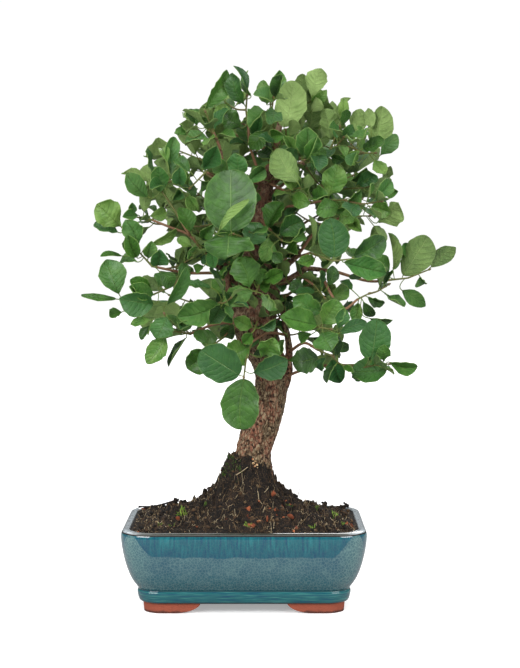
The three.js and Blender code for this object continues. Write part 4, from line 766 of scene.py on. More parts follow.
def back_leaf(index, line, seed, attempt):
    """A leaf of a back spray, turned on round the shoot and shortened by each try."""
    rule = BACK_LEAVES
    draw = seeded_draws(seed)
    share = index / (rule.count - 1)
    centre, along = line[math.floor((rule.root_from + rule.root_span * share) * (len(line) - 1) + 0.5)]
    turn = index * GOLDEN_ANGLE + rule.turn_draw * draw() + rule.turn_try * attempt
    opening = rule.spread_last if index == rule.count - 1 else rule.spread_first - rule.spread_fall * share
    spread = opening + rule.spread_draw * draw()
    length = rule.length * drawn(draw, rule.length_share) * (1 - rule.shorter_try * attempt)
    ahead = opened(along, turn, spread)
    foot = centre + ahead * (PETIOLE_LEAST + rule.stalk_share * length)
    towards = along + UP * rule.face_up + VIEW * rule.face_out * np.sign(centre[1])
    width = length * drawn(draw, rule.width_share)
    roll = rule.roll_draw * (draw() - 0.5)
    leaf = make_leaf(centre, foot, foot + ahead * length, width, towards, roll, draw)
    leaf.size = "small"
    return leaf


def spray_stem(points, green):
    """The points of a spray's wood and of its green shoot, and the places where leaves may root."""
    share = green / (len(points) - 1)
    along = unit(curve_point(points, share + 0.01) - curve_point(points, share - 0.01))
    wood = [*points[:green], points[green] - along * GAP / 2]
    shoot = np.array([points[green] + along * GAP / 2, *points[green + 1:]])
    line = []
    for i in range(ROOT_STEPS + 1):
        at = i / ROOT_STEPS * (len(shoot) - 1)
        low = min(int(at), len(shoot) - 2)
        centre = shoot[low] + (shoot[low + 1] - shoot[low]) * (at - low)
        line.append((centre, unit(shoot[low + 1] - shoot[low])))
    return Values(wood=wood, shoot=shoot, line=line)


def trunk_centre_at(height):
    centres = placed(TRUNK)
    upper = next(i for i, point in enumerate(centres) if point[2] >= height)
    low, high = centres[upper - 1], centres[upper]
    return low + (high - low) * (height - low[2]) / (high[2] - low[2])


def back_path(index, attempt):
    """The path of a back spray, turned a little further by each try."""
    rule = BACK_SPRAYS
    draw = seeded_draws(rule.seed + index)
    climb = (index + 0.5) / rule.count
    share = ((index + 1) * GOLDEN_SHARE) % 1
    turn = math.radians(rule.turn_from + rule.turn_span * share + rule.turn_try * attempt)
    base = rule.lowest + (rule.highest - rule.lowest) * climb
    height = base + rule.rise_least + rule.rise_draw * draw()
    start = trunk_centre_at(base - rule.start_below)
    level = math.sqrt(max(rule.least_level, 1 - ((height - CROWN_CENTRE[2]) / CROWN_REACH[2]) ** 2))
    out = rule.fill[index % len(rule.fill)] * level
    tip = np.array([
        CROWN_CENTRE[0] + out * CROWN_REACH[0] * math.cos(turn),
        CROWN_CENTRE[1] + out * CROWN_REACH[1] * math.sin(turn),
        height,
    ])
    elbow = start + (tip - start) * rule.elbow_at + UP * rule.elbow_drop * (draw() - 1)
    return [start, elbow, start + (tip - start) * rule.wood_share, tip]


def cad_points(node):
    """A search tree over the corners of a CAD node."""
    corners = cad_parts[node].data.vertices
    tree = kdtree.KDTree(len(corners))
    for corner in corners:
        tree.insert(from_scene(corner.co), corner.index)
    tree.balance()
    return tree


def leaf_corners(leaf):
    """The corners that a leaf's CAD blade has on both faces."""
    steps = np.array(BLADE_STEPS[leaf.size])
    left, right = (blade_points(leaf, steps, side * np.ones(len(steps))) for side in (-1, 1))
    middle = [leaf.tip, *left, *right]
    return [point + side * leaf.face * CAD_THICKNESS / 2 for point in middle for side in (-1, 1)]


def corners_found(tree, leaf):
    return sum(tree.find(point)[2] < FOUND_WITHIN for point in leaf_corners(leaf))


def grow_leaves(number, spray):
    """The leaves of a spray. Of each leaf's tries, the one that the CAD node shows is taken."""
    tree = cad_points(spray.name)
    leaves = []
    for index in range(len(spray.rows) if spray.rows else BACK_LEAVES.count):
        seed = LEAF_SEEDS.first + LEAF_SEEDS.per_spray * number + index
        if spray.rows:
            taken = [leaf.root_at for leaf in leaves]
            tries = [front_leaf(spray.rows[index], spray.stem.line, taken, seed, attempt)
                     for attempt in range(2 * len(DEPTH_TRIES))]
        else:
            tries = [back_leaf(index, spray.stem.line, seed, attempt) for attempt in range(BACK_SPRAYS.tries)]
        found = [corners_found(tree, leaf) for leaf in tries]
        best = int(np.argmax(found))
        if found[best] >= CORNERS_ENOUGH:
            leaves.append(tries[best])
    return leaves


def give_seen_forms(spray):
    """Gives the leaves that stand out in the photograph their own tone and form."""
    for at, own in SEEN_LEAVES.get(spray.name, {}).items():
        vars(spray.leaves[at]).update(own)
    if spray.name == CURLED_LEAF.spray:
        curled = spray.leaves[CURLED_LEAF.at]
        curled.foot, curled.tip = place(*CURLED_LEAF.foot), place(*CURLED_LEAF.tip)
        curled.face = unit(np.array(CURLED_LEAF.face))
        curled.side = np.cross(curled.face, unit(curled.tip - curled.foot))


@functools.cache
def grown_sprays():
    """Every spray with its stem and leaves. Of a back spray's paths, the one that the CAD shows is taken."""
    sprays = []
    for name, green, path, rows in SPRAYS:
        stem = spray_stem(placed(path), green)
        sprays.append(Values(name=f"spray_{name}", stem=stem, rows=rows, kind="front"))
    for index in range(BACK_SPRAYS.count):
        name = f"spray_back_{index + 1:02d}"
        tree = cad_points(name)
        paths = [back_path(index, attempt) for attempt in range(BACK_SPRAYS.tries)]
        ends = [len(tree.find_range(path[-1], SHOOT_END_RADIUS + FOUND_WITHIN)) for path in paths]
        stem = spray_stem(paths[int(np.argmax(ends))], 2)
        sprays.append(Values(name=name, stem=stem, rows=None, kind="back"))
    for number, spray in enumerate(sprays):
        spray.leaves = grow_leaves(number, spray)
        give_seen_forms(spray)
    return sprays


def front_view(point):
    """Where the front view shows a point."""
    scale = STEP * (1 + point[1] / EYE.distance)
    return EYE.across_step + (point[0] - EYE.across) / scale, EYE.down_step - (point[2] - EYE.height) / scale


def in_crown(point):
    """Whether the front view shows the point inside the crown's edge and off the open view lines."""
    across, down = front_view(point)
    if any(math.hypot(across - x, down - y) < radius for x, y, radius in OPEN_SPOTS):
        return False
    inside = False
    for (x1, y1), (x2, y2) in zip(CROWN_EDGE, CROWN_EDGE[1:] + CROWN_EDGE[:1]):
        if (y1 > down) != (y2 > down) and across < x1 + (x2 - x1) * (down - y1) / (y2 - y1):
            inside = not inside
    return inside


def fits_crown(leaf):
    """Whether a leaf shows inside the crown's edge and stands inside the CAD's box."""
    if any(leaf.tip < BOX_LOW + SPRIGS.inside) or any(leaf.tip > BOX_HIGH - SPRIGS.inside):
        return False
    shown = blade_points(leaf, np.array([0.5, 0.5, 0.5, 0.85]), np.array([0.0, -0.9, 0.9, 0.0]))
    return all(in_crown(point) for point in shown)


def blade_tree(leaf):
    """A leaf's middle surface, for testing what crosses it."""
    s = np.repeat(np.linspace(0.04, 0.96, 5), 3)
    v = np.tile([-1.0, 0.0, 1.0], 5)
    faces = [(3 * i + j, 3 * i + j + 1, 3 * i + j + 4, 3 * i + j + 3) for i in range(4) for j in range(2)]
    return BVHTree.FromPolygons(blade_points(leaf, s, v).tolist(), faces)


def sprig_starts():
    """The places on the twigs, the shoots, the limbs and the trunk that a sprig may start from."""
    starts = []
    for spray in grown_sprays():
        starts.extend(np.linspace(spray.stem.wood[-2], spray.stem.wood[-1], SPRIGS.starts_on_twig))
        starts.extend(spray.stem.shoot)
    for _, _, path in LIMBS:
        starts.extend(smooth_line(placed(path), SPRIGS.starts_on_limb)[2:])
    trunk = smooth_line(placed(TRUNK), SPRIGS.starts_on_trunk)
    return starts + [point for point in trunk if point[2] > SPRIGS.trunk_from]


def sprig_leaf(index, line, heading, draw):
    rule = SPRIGS
    share = index / (rule.leaves - 1)
    at = line[rule.leaves_from + round(rule.leaves_over * share)]
    along = unit(line[-1] - line[-3])
    turn = index * GOLDEN_ANGLE + rule.turn_draw * draw()
    ahead = opened(along, turn, rule.spread[0] + rule.spread[1] * share + rule.spread_draw * draw())
    size = drawn(draw, rule.leaf_length)
    foot = at + ahead * (PETIOLE_LEAST + rule.stalk_share * size)
    towards = UP * rule.face_up + heading * rule.face_ahead + jitter(draw)
    width = size * drawn(draw, rule.leaf_width)
    leaf = make_leaf(at, foot, foot + ahead * size, width, towards, 0, draw)
    leaf.size = "small"
    return leaf


def inner_sprigs():
    """Leafy sprigs that fill the crown. Each starts on the wood and crosses no leaf that is there already."""
    rule = SPRIGS
    draw = seeded_draws(rule.seed)
    standing = [(leaf.foot, blade_tree(leaf)) for spray in grown_sprays() for leaf in spray.leaves]
    starts = sprig_starts()
    sprigs = []
    for _ in range(rule.count * rule.tries):
        if len(sprigs) == rule.count:
            break
        start = starts[int(draw() * len(starts))]
        turn = draw() * 2 * math.pi
        heading = unit(around(turn) + UP * drawn(draw, rule.rise))
        length = drawn(draw, rule.length)
        end = start + heading * length + UP * rule.bend_up * length
        if not in_crown(end):
            continue
        line = smooth_line([start, start + heading * length / 2, end], rule.steps)
        leaves = []
        for index in range(rule.leaves):
            leaf = sprig_leaf(index, line, heading, draw)
            if not fits_crown(leaf):
                continue
            own = blade_tree(leaf)
            close = (tree for other, tree in standing if np.abs(other - leaf.foot).max() < rule.near)
            if not any(tree.overlap(own) for tree in close):
                leaves.append((leaf, own))
        if len(leaves) >= rule.least_leaves:
            standing.extend((leaf.foot, own) for leaf, own in leaves)
            sprigs.append(Values(line=line, leaves=[leaf for leaf, _ in leaves]))
    return sprigs


def living_blade(leaf, s, v, draw):
    """Points of a blade as it grew: widest towards its tip, bent aside, folded, fluttering and notched."""
    ranges = BROAD_LEAF_LIFE if leaf.size == "large" else LEAF_LIFE
    life = Values(**{name: drawn(draw, limits) for name, limits in ranges.items()})
    vars(life).update(getattr(leaf, "life", {}))
    rib = leaf.tip - leaf.foot
    length = np.linalg.norm(rib)
    grown = s**life.widest
    half = leaf.width / 2 * (4 * grown * (1 - grown)) ** life.fullness
    sides = life.phase + LIVING.sides_apart * np.sign(v)
    teeth = life.teeth * np.sin(2 * math.pi * LIVING.teeth_along * s + 2 * sides)
    notched = 1 + (teeth + life.notch * np.sin(2 * math.pi * life.lobes * s + sides)) * np.abs(v)
    flutter = life.flutter * leaf.width * np.sin(2 * math.pi * life.flutters * s + sides) * v * v
    rise = (leaf.fold * v * v + life.folded * np.abs(v) ** LIVING.fold_power) * half + flutter
    rise += length * (leaf.arch * 4 * s * (1 - s) - life.curled * s**3)
    narrowed = 1 - LIVING.fold_narrows * life.folded**2
    aside = half * v * notched * narrowed + life.bend * length * np.sin(math.pi * s)
    return leaf.foot + np.outer(s, rib) + np.outer(aside, leaf.side) + np.outer(rise, leaf.face)


# The shapes of the pot and the soil

def pot_ring(height, inset):
    """One round-cornered ring of the pot, standing in from its widest outline."""
    half_length = POT_HALF_LENGTH - inset
    half_depth = POT_HALF_DEPTH - inset
    corner = max(POT_CORNER.widest - inset * POT_CORNER.tighter, POT_CORNER.least)
    arcs = []
    for quarter in range(4):
        centre_x = (half_length - corner) * (1 if quarter in (0, 3) else -1)
        centre_y = (half_depth - corner) * (1 if quarter < 2 else -1)
        turns = (quarter + np.arange(POT_CORNER.steps + 1) / POT_CORNER.steps) * math.pi / 2
        arcs.append(np.column_stack([centre_x + corner * np.cos(turns), centre_y + corner * np.sin(turns)]))
    ring = []
    steps = POT_CORNER.side_steps
    for quarter, arc in enumerate(arcs):
        onward = arcs[(quarter + 1) % 4][0]
        ring.extend(arc)
        ring.extend(arc[-1] + (onward - arc[-1]) * i / steps for i in range(1, steps))
    return np.column_stack([np.array(ring), np.full(len(ring), height)])


def foot_arch(flat_end, arch_end, along_x):
    """The bar of air between two feet."""
    top = FOOT_RING.top + 1
    rise = [(flat_end, -1), (flat_end, 0)]
    for step in range(1, FOOT_RING.arc_steps + 1):
        turn = step / FOOT_RING.arc_steps * math.pi / 2
        rise.append((flat_end - (flat_end - arch_end) * math.sin(turn), top * (1 - math.cos(turn))))
    outline = [(-x, z) for x, z in rise] + [(x, z) for x, z in reversed(rise)]
    reach = 2 * POT_HALF_LENGTH
    bar = Cluster()
    if along_x:
        bar.skin([np.array([(x, y, z) for x, z in outline]) for y in (-reach, reach)])
    else:
        bar.skin([np.array([(x, y, z) for y, z in outline]) for x in (reach, -reach)])
    made = bar.piece("arch")
    with editing(made):
        bpy.ops.mesh.normals_make_consistent(inside=False)
    return made


def soil_height(x, y, share):
    radius = math.hypot(x - SOIL.middle[0], y - SOIL.middle[1])
    bed = SOIL.bed * max(0, 1 - (radius / SOIL.bed_reach) ** 2)
    beyond = max(0, (radius - SOIL.peak_foot) / SOIL.peak_width)
    peak = SOIL.peak / (1 + beyond**SOIL.peak_power)
    waves = sum(math.sin(x * along + y * deep + start) for along, deep, start in SOIL.waves)
    return SOIL.at_wall + share * (bed + peak) + SOIL.lump * share * waves


def edge_share(x, y):
    """How far in from the pot's wall a place on the soil lies, from 0 at the wall to 1 in the middle."""
    along = 1 - abs(x) / (POT_HALF_LENGTH - SOIL.edge)
    return max(0, min(along, 1 - abs(y) / (POT_HALF_DEPTH - SOIL.edge)))


def soil_lumps(point):
    """How far the peat's clods stand over the plain mound, from nothing at the wall."""
    off = math.hypot(point[0] - SOIL.middle[0], point[1] - SOIL.middle[1])
    clods = sum(high * (abs(noise.noise(Vector(point) / wide)) - SOIL.clods_sunk) for wide, high in CLODS)
    clods *= 1 + SOIL.steeper * math.exp(-off / SOIL.steeper_reach)
    swell = SOIL.swell * noise.fractal(Vector(point) / SOIL.swell_width, 1.0, 2.0, 2)
    return min(1, edge_share(point[0], point[1]) * SOIL.clod_climb) * (clods + swell)


def soil_surface(x, y):
    """How high the plain soil stands there."""
    return soil_height(x, y, min(1, edge_share(x, y) * SOIL.climb))


def lumpy_place(x, y):
    """A place on top of the clods."""
    point = np.array([x, y, soil_surface(x, y)])
    return point + UP * soil_lumps(point)


def seen_on_soil(across, down):
    """The place on the soil that the front view shows there."""
    for depth in np.arange(-POT_HALF_DEPTH, POT_HALF_DEPTH, 0.5):
        point = place(across, down, depth)
        if point[2] <= soil_surface(point[0], point[1]):
            break
    return point


def soil_place(draw):
    """A seeded place on the soil, clear of the trunk."""
    foot = place(*TRUNK_AT_SOIL)
    while True:
        x = (2 * draw() - 1) * (POT_HALF_LENGTH - CLEAR_OF_WALL)
        y = (2 * draw() - 1) * (POT_HALF_DEPTH - CLEAR_OF_WALL)
        if math.hypot(x - foot[0], y - foot[1]) > CLEAR_OF_TRUNK:
            return lumpy_place(x, y)


def random_axes(draw):
    """Three directions square to each other, turned by seeded draws."""
    first = unit(jitter(draw))
    second = unit(np.cross(first, [draw(), 1, draw()]))
    return np.array([first, second, np.cross(first, second)])


def lump(draw, ball, size, flatness, centre):
    """A rough lump: a ball's corners pushed in and out, flattened and turned by seeded draws."""
    corners, faces = ball
    rough = corners * (1 + LUMP_ROUGHNESS * (np.array([[draw()] for _ in corners]) - 0.5))
    return rough * np.array(flatness) * size @ random_axes(draw) + centre, faces


# Shader helpers

def paint(red, green, blue, alpha=1.0):
    """A colour as Blender holds it, from its values on a screen, 0 to 255."""
    return (*[((c / 255 + 0.055) / 1.055) ** 2.4 for c in (red, green, blue)], alpha)


def feed(tree, socket, value):
    """Gives a socket its value, or links it to the output that feeds it."""
    if isinstance(value, bpy.types.NodeSocket):
        tree.links.new(value, socket)
    else:
        socket.default_value = value


def put(tree, kind, inputs=None, **settings):
    """Adds a shader node. An input is a value, or the output that feeds it."""
    made = tree.nodes.new(kind)
    for name, value in settings.items():
        setattr(made, name, value)
    for key, value in (inputs or {}).items():
        feed(tree, made.inputs[key], value)
    return made


def ramp(tree, factor, *stops):
    """Colours or greys spread over a factor, as (place, value) stops."""
    made = put(tree, "ShaderNodeValToRGB", {"Fac": factor})
    elements = made.color_ramp.elements
    while len(elements) < len(stops):
        elements.new(0.5)
    for element, (at, value) in zip(elements, stops):
        element.position = at
        element.color = value if isinstance(value, tuple) else (value, value, value, 1)
    return made.outputs["Color"]


def maths(tree, operation, *values):
    return put(tree, "ShaderNodeMath", dict(enumerate(values)), operation=operation).outputs[0]


def times(tree, first, second):
    return maths(tree, "MULTIPLY", first, second)


def mixed(tree, factor, first, second, share=None):
    """The first value where the factor is 0 and the second where it is 1, or only a share of the second."""
    if share is not None:
        factor = times(tree, factor, share)
    return put(tree, "ShaderNodeMix", {0: factor, 6: first, 7: second}, data_type="RGBA").outputs[2]


def step_up(tree, value, low, high):
    """0 below low, 1 above high and a soft step between them."""
    return put(tree, "ShaderNodeMapRange", {"Value": value, "From Min": low, "From Max": high},
               interpolation_type="SMOOTHSTEP").outputs["Result"]


def own_place(tree):
    """The piece's own coordinates, in metres."""
    return put(tree, "ShaderNodeTexCoord").outputs["Object"]


def pot_place(tree):
    """Millimetres from the middle of the pot, on the ground."""
    middle = (-POT_MIDDLE / METRES).tolist()
    inputs = {"Vector": own_place(tree), "Location": middle, "Scale": (1 / METRES,) * 3}
    return put(tree, "ShaderNodeMapping", inputs).outputs["Vector"]


def stretched(tree, vector, scale):
    return put(tree, "ShaderNodeMapping", {"Vector": vector, "Scale": scale}).outputs["Vector"]


def speckle(tree, vector, scale, detail=4.0, roughness=0.55):
    """Soft noise. A scale for each axis makes it streaky."""
    if isinstance(scale, tuple):
        vector, scale = stretched(tree, vector, scale), 1.0
    return put(tree, "ShaderNodeTexNoise",
               {"Vector": vector, "Scale": scale, "Detail": detail, "Roughness": roughness}).outputs["Fac"]


def cell_edges(tree, vector, scale):
    """How far a place lies from the edges between cells."""
    return put(tree, "ShaderNodeTexVoronoi", {"Vector": vector, "Scale": scale},
               feature="DISTANCE_TO_EDGE").outputs["Distance"]


def tone_of(tree):
    return put(tree, "ShaderNodeAttribute", attribute_name="tone").outputs["Fac"]


def bumped(tree, height, distance, strength=1.0):
    inputs = {"Height": height, "Distance": distance, "Strength": strength}
    return put(tree, "ShaderNodeBump", inputs).outputs["Normal"]


def new_material(name):
    material = bpy.data.materials.new(name)
    material.use_nodes = True
    return material, material.node_tree


def surfaced(material, color, normal=None, roughness=0.5, **more):
    """Gives a material its colour, its relief and its shine."""
    tree = material.node_tree
    inputs = {"Base Color": color, "Roughness": roughness}
    if normal is not None:
        inputs["Normal"] = normal
    inputs.update({name.replace("_", " "): value for name, value in more.items()})
    for name, value in inputs.items():
        feed(tree, tree.nodes["Principled BSDF"].inputs[name], value)
    return material


# The finishes

def glaze_material(look):
    """Teal glaze with painted reflections: the dark room in the band below the lip and, partly, the pale
    floor in the milky bowl; thin on the corners, and a foot band with streaks.
    """
    material, tree = new_material("pot_glaze")
    place_in = pot_place(tree)
    split = put(tree, "ShaderNodeSeparateXYZ", {"Vector": place_in})
    height = split.outputs["Z"]
    along = maths(tree, "DIVIDE", maths(tree, "ABSOLUTE", split.outputs["X"]), POT_HALF_LENGTH)
    deep = maths(tree, "DIVIDE", maths(tree, "ABSOLUTE", split.outputs["Y"]), POT_HALF_DEPTH)
    corner = step_up(tree, maths(tree, "MINIMUM", along, deep), *GLAZE.corner)
    # The band below the lip is a painted reflection of the dark room; its lower edge rises towards the
    # corners and wavers.
    waver = times(tree, speckle(tree, place_in, (0.04, 0.04, 0), 3.0), GLAZE.waver)
    edge = maths(tree, "ADD", maths(tree, "MULTIPLY_ADD", corner, GLAZE.corner_rise, GLAZE.band_from), waver)
    over_edge = maths(tree, "SUBTRACT", height, edge)
    in_reflection_band = step_up(tree, over_edge, *GLAZE.band_edge)

    clouds = ramp(tree, speckle(tree, place_in, *GLAZE.clouds), (0.32, 0.0), (0.68, 1.0))
    flecks = ramp(tree, speckle(tree, place_in, *GLAZE.flecks), (0.5, 0.0), (0.72, 1.0))
    # The bowl's milky colour is partly a painted reflection of the pale floor; its clouds and flecks are the
    # glaze's own.
    bowl = mixed(tree, clouds, look.glaze_bowl_dark, look.glaze_bowl)
    clouded = maths(tree, "ADD", height, times(tree, clouds, GLAZE.cloud_rise))
    bowl = mixed(tree, step_up(tree, clouded, *GLAZE.low), look.glaze_low, bowl)
    bowl = mixed(tree, corner, bowl, look.glaze_corner, share=0.55)
    bowl = mixed(tree, flecks, bowl, look.glaze_crackle, share=0.16)

    # The band's colour: streaked teal glaze with the painted reflection of the dark room, bluer towards its
    # lower edge.
    streaks = speckle(tree, place_in, (0.55, 0.55, 0.04), 4.0, 0.6)
    band = ramp(tree, streaks, (0.33, look.glaze_band_blue), (0.5, look.glaze_band),
                (0.7, look.glaze_band_light))
    band = mixed(tree, step_up(tree, over_edge, *GLAZE.deep_edge), band, look.glaze_band_blue, share=0.45)
    colour = mixed(tree, in_reflection_band, bowl, band)

    crackle = ramp(tree, cell_edges(tree, place_in, GLAZE.crackle_size), (0.0, 1.0), (0.12, 0.0))
    shown = maths(tree, "MULTIPLY_ADD", corner, 0.4, 0.35)
    shown = times(tree, shown, maths(tree, "MULTIPLY_ADD", in_reflection_band, -0.85, 1.0))
    colour = mixed(tree, crackle, colour, look.glaze_crackle, share=shown)

    base = ramp(tree, speckle(tree, place_in, (0.05, 0.05, 1.1), 3.0), (0.35, look.glaze_band_blue),
                (0.5, look.glaze_base), (0.68, look.glaze_base_light))
    lip = mixed(tree, step_up(tree, along, *GLAZE.lip_end), look.glaze_lip, look.glaze_lip_side)
    worn = ramp(tree, speckle(tree, place_in, *GLAZE.worn), (0.52, 0.0), (0.66, 0.8))
    lip = mixed(tree, worn, lip, look.glaze_lip_dark)
    dark = look.glaze_dark
    for levels, below in ((GLAZE.groove, dark), (GLAZE.foot_band, base), (GLAZE.foot_groove, dark)):
        colour = mixed(tree, step_up(tree, height, *levels), below, colour)
    for levels, above in ((GLAZE.rim, look.glaze_lip_dark), (GLAZE.lip, lip)):
        colour = mixed(tree, step_up(tree, height, *levels), colour, above)
    relief = bumped(tree, speckle(tree, place_in, 0.07, 3.0), 0.0008, 0.35)
    return surfaced(material, colour, relief, 0.12, Coat_Weight=0.6, Coat_Roughness=0.05)


def clay_material(look):
    """Bare clay, darker in a ragged strip along the ground."""
    material, tree = new_material("bare_clay")
    place_in = pot_place(tree)
    height = put(tree, "ShaderNodeSeparateXYZ", {"Vector": place_in}).outputs["Z"]
    grain = speckle(tree, place_in, 0.7, 6.0, 0.65)
    ragged = speckle(tree, place_in, 0.16, 4.0, 0.7)
    colour = mixed(tree, grain, look.clay_dark, look.clay)
    above = step_up(tree, maths(tree, "SUBTRACT", height, times(tree, ragged, 4.5)), -1.4, 0.4)
    return surfaced(material, mixed(tree, above, look.clay_stain, colour), bumped(tree, grain, 0.0006), 0.85)


def screen_material():
    material, tree = new_material("screen_plastic")
    return surfaced(material, ramp(tree, speckle(tree, own_place(tree), 900), (0.3, 0.012), (0.7, 0.02)))


def soil_material(look):
    material, tree = new_material("peat")
    place_in = pot_place(tree)
    # Near-black patches over the damp peat are painted shade of hollows; the pale fibres are the peat's own.
    coarse = ramp(tree, speckle(tree, place_in, 0.2, 8.0, 0.72), (0.44, 0.0), (0.66, 1.0))
    fine = speckle(tree, place_in, 0.95, 6.0, 0.75)
    colour = mixed(tree, coarse, look.peat_dark, look.peat)
    colour = mixed(tree, ramp(tree, fine, (0.54, 0.0), (0.66, 1.0)), colour, look.peat_light)
    return surfaced(material, colour, bumped(tree, fine, 0.0016), 0.95)


def toned_material(name, roughness, *stops):
    """A finish whose colour goes by the tone that each small piece has, with some grain."""
    material, tree = new_material(name)
    grain = speckle(tree, own_place(tree), 800)
    uneven = times(tree, maths(tree, "SUBTRACT", grain, 0.5), 0.5)
    colour = ramp(tree, maths(tree, "ADD", tone_of(tree), uneven), *stops)
    return surfaced(material, colour, bumped(tree, grain, 0.0005), roughness)


def litter_material(name):
    roughness, tones = LITTER_FINISHES[name]
    return toned_material(name, roughness, *[(at, paint(*levels)) for at, *levels in tones])


def bark_material(look):
    """Cork bark: small flakes of many tones over furrows, worn grey in streaks and red where it has split."""
    material, tree = new_material("cork_bark")
    place_in = pot_place(tree)
    bend = put(tree, "ShaderNodeTexNoise", {"Vector": place_in, "Scale": 0.5, "Detail": 3.0}).outputs["Color"]
    bent = put(tree, "ShaderNodeVectorMath", {0: place_in, 1: bend}, operation="ADD").outputs["Vector"]
    flat = stretched(tree, bent, (0.72, 0.72, 0.5))
    flakes = put(tree, "ShaderNodeTexVoronoi", {"Vector": flat, "Scale": 1.0})
    draw = put(tree, "ShaderNodeSeparateColor", {"Color": flakes.outputs["Color"]}).outputs[0]
    grain = speckle(tree, place_in, (0.9, 0.9, 0.5), 6.0, 0.72)
    tone = maths(tree, "ADD", times(tree, draw, 0.45), times(tree, grain, 0.6))
    colour = ramp(tree, tone, (0.3, look.bark_furrow), (0.44, look.bark), (0.58, look.bark_ridge),
                  (0.74, look.bark_grey))
    red = ramp(tree, tone, (0.3, look.bark_furrow), (0.48, look.bark_red), (0.76, look.bark_grey))
    patches = ramp(tree, speckle(tree, place_in, (0.09, 0.09, 0.05), 4.0, 0.6), (0.46, 0.0), (0.56, 0.9))
    colour = mixed(tree, patches, colour, red)
    streaks = ramp(tree, speckle(tree, place_in, (0.13, 0.13, 0.022), 3.0), (0.6, 0.0), (0.7, 0.55))
    colour = mixed(tree, streaks, colour, look.bark_grey)
    high_up = step_up(tree, put(tree, "ShaderNodeSeparateXYZ", {"Vector": place_in}).outputs["Z"], *BARK_HIGH)
    colour = mixed(tree, high_up, colour, look.bark_high, share=0.5)
    plates = cell_edges(tree, stretched(tree, bent, (0.3, 0.3, 0.12)), 1.0)
    furrow = times(tree, ramp(tree, plates, (0.0, 1.0), (0.1, 0.0)),
                   maths(tree, "MULTIPLY_ADD", high_up, -0.35, 0.55))
    colour = mixed(tree, furrow, colour, look.bark_furrow)
    relief = bumped(tree, maths(tree, "SUBTRACT", tone, furrow), 0.0016)
    return surfaced(material, colour, relief, 0.85, Specular_IOR_Level=0.3)


def twig_material(look):
    material, tree = new_material("twig_bark")
    grain = speckle(tree, pot_place(tree), (0.9, 0.9, 0.3), 5.0)
    colour = mixed(tree, grain, look.twig, look.twig_light)
    return surfaced(material, colour, bumped(tree, grain, 0.0004), 0.7)


def vein_group():
    """Where the rib, the veins and the fields between them lie on a blade, read from its own map."""
    group = bpy.data.node_groups.new("Leaf veins", "ShaderNodeTree")
    group.interface.new_socket("Veins", in_out="INPUT", socket_type="NodeSocketFloat").default_value = 7
    for name in ("Rib", "Vein", "Field", "Net", "Edge"):
        group.interface.new_socket(name, in_out="OUTPUT", socket_type="NodeSocketFloat")
    entry = group.nodes.new("NodeGroupInput")
    leave = group.nodes.new("NodeGroupOutput")
    chart = put(group, "ShaderNodeUVMap", uv_map="blade").outputs["UV"]
    split = put(group, "ShaderNodeSeparateXYZ", {"Vector": chart})
    aside = maths(group, "ABSOLUTE", maths(group, "MULTIPLY_ADD", split.outputs["X"], 2.0, -1.0))
    sway = times(group, speckle(group, chart, 3.0, 2.0), 0.12)
    lead = maths(group, "MULTIPLY_ADD", times(group, aside, aside), 0.12, times(group, aside, 0.14))
    run = maths(group, "ADD", maths(group, "SUBTRACT", split.outputs["Y"], lead), sway)
    phase = maths(group, "FRACT", times(group, run, entry.outputs["Veins"]))
    off = maths(group, "ABSOLUTE", maths(group, "SUBTRACT", phase, 0.5))
    for name, factor, stops in (
        ("Rib", aside, [(0.0, 1.0), (0.045, 0.0)]),
        ("Vein", off, [(0.0, 1.0), (0.06, 0.0)]),
        ("Field", off, [(0.0, 0.0), (0.3, 0.85), (0.5, 1.0)]),
        ("Net", cell_edges(group, chart, 22.0), [(0.0, 1.0), (0.12, 0.0)]),
        ("Edge", aside, [(0.93, 0.0), (0.99, 1.0)]),
    ):
        feed(group, leave.inputs[name], ramp(group, factor, *stops))
    return group


def leaf_material(name, veins, colours, sheen_and_cool_colour, vein_colour, finish):
    """The upper or the under side of the blades. Colours are for dark, middle and young leaves; the upper
    side mixes some leaves towards a blue-green painted sheen.
    """
    material, tree = new_material(name)
    group = put(tree, "ShaderNodeGroup", node_tree=veins)
    tone = tone_of(tree)
    mottle = speckle(tree, own_place(tree), 120, 4.0, 0.6)
    patch = times(tree, maths(tree, "SUBTRACT", mottle, 0.5), 0.75)
    colour = ramp(tree, maths(tree, "ADD", tone, patch), *zip(LEAF_STOPS, colours))
    # Painted sheen: leaves picked by their tone lean to the blue-green sheen colour on the upper side, and to
    # plain pale green on the under side.
    cool = step_up(tree, maths(tree, "FRACT", times(tree, tone, 7.3)), 0.4, 0.9)
    colour = mixed(tree, cool, colour, sheen_and_cool_colour, share=finish.cool)
    lines = group.outputs["Rib"]
    for part, share in (("Vein", finish.side), ("Net", finish.net)):
        lines = maths(tree, "MAXIMUM", lines, times(tree, group.outputs[part], share))
    colour = mixed(tree, lines, colour, vein_colour, share=finish.veins)
    colour = mixed(tree, group.outputs["Edge"], colour, vein_colour, share=0.2)
    height = maths(tree, "SUBTRACT", times(tree, group.outputs["Field"], 0.4), lines)
    height = maths(tree, "MULTIPLY_ADD", height, -finish.raised, times(tree, mottle, 2.2))
    return surfaced(material, colour, bumped(tree, height, 0.0006), finish.roughness,
                    Specular_IOR_Level=0.4, Coat_Weight=finish.wax, Coat_Roughness=0.22)


# Sizes and colours that a user would change

def tint(name, description, *levels):
    return FloatVectorProperty(name=name, description=description, subtype="COLOR", size=4, min=0, max=1,
                               default=paint(*levels))


def length_property(name, description, default, least, most):
    return FloatProperty(name=name, description=description, default=default, min=least, max=most,
                         subtype="DISTANCE", unit="LENGTH")


def number_property(name, description, default, most):
    return IntProperty(name=name, description=description, default=default, min=0, max=most)


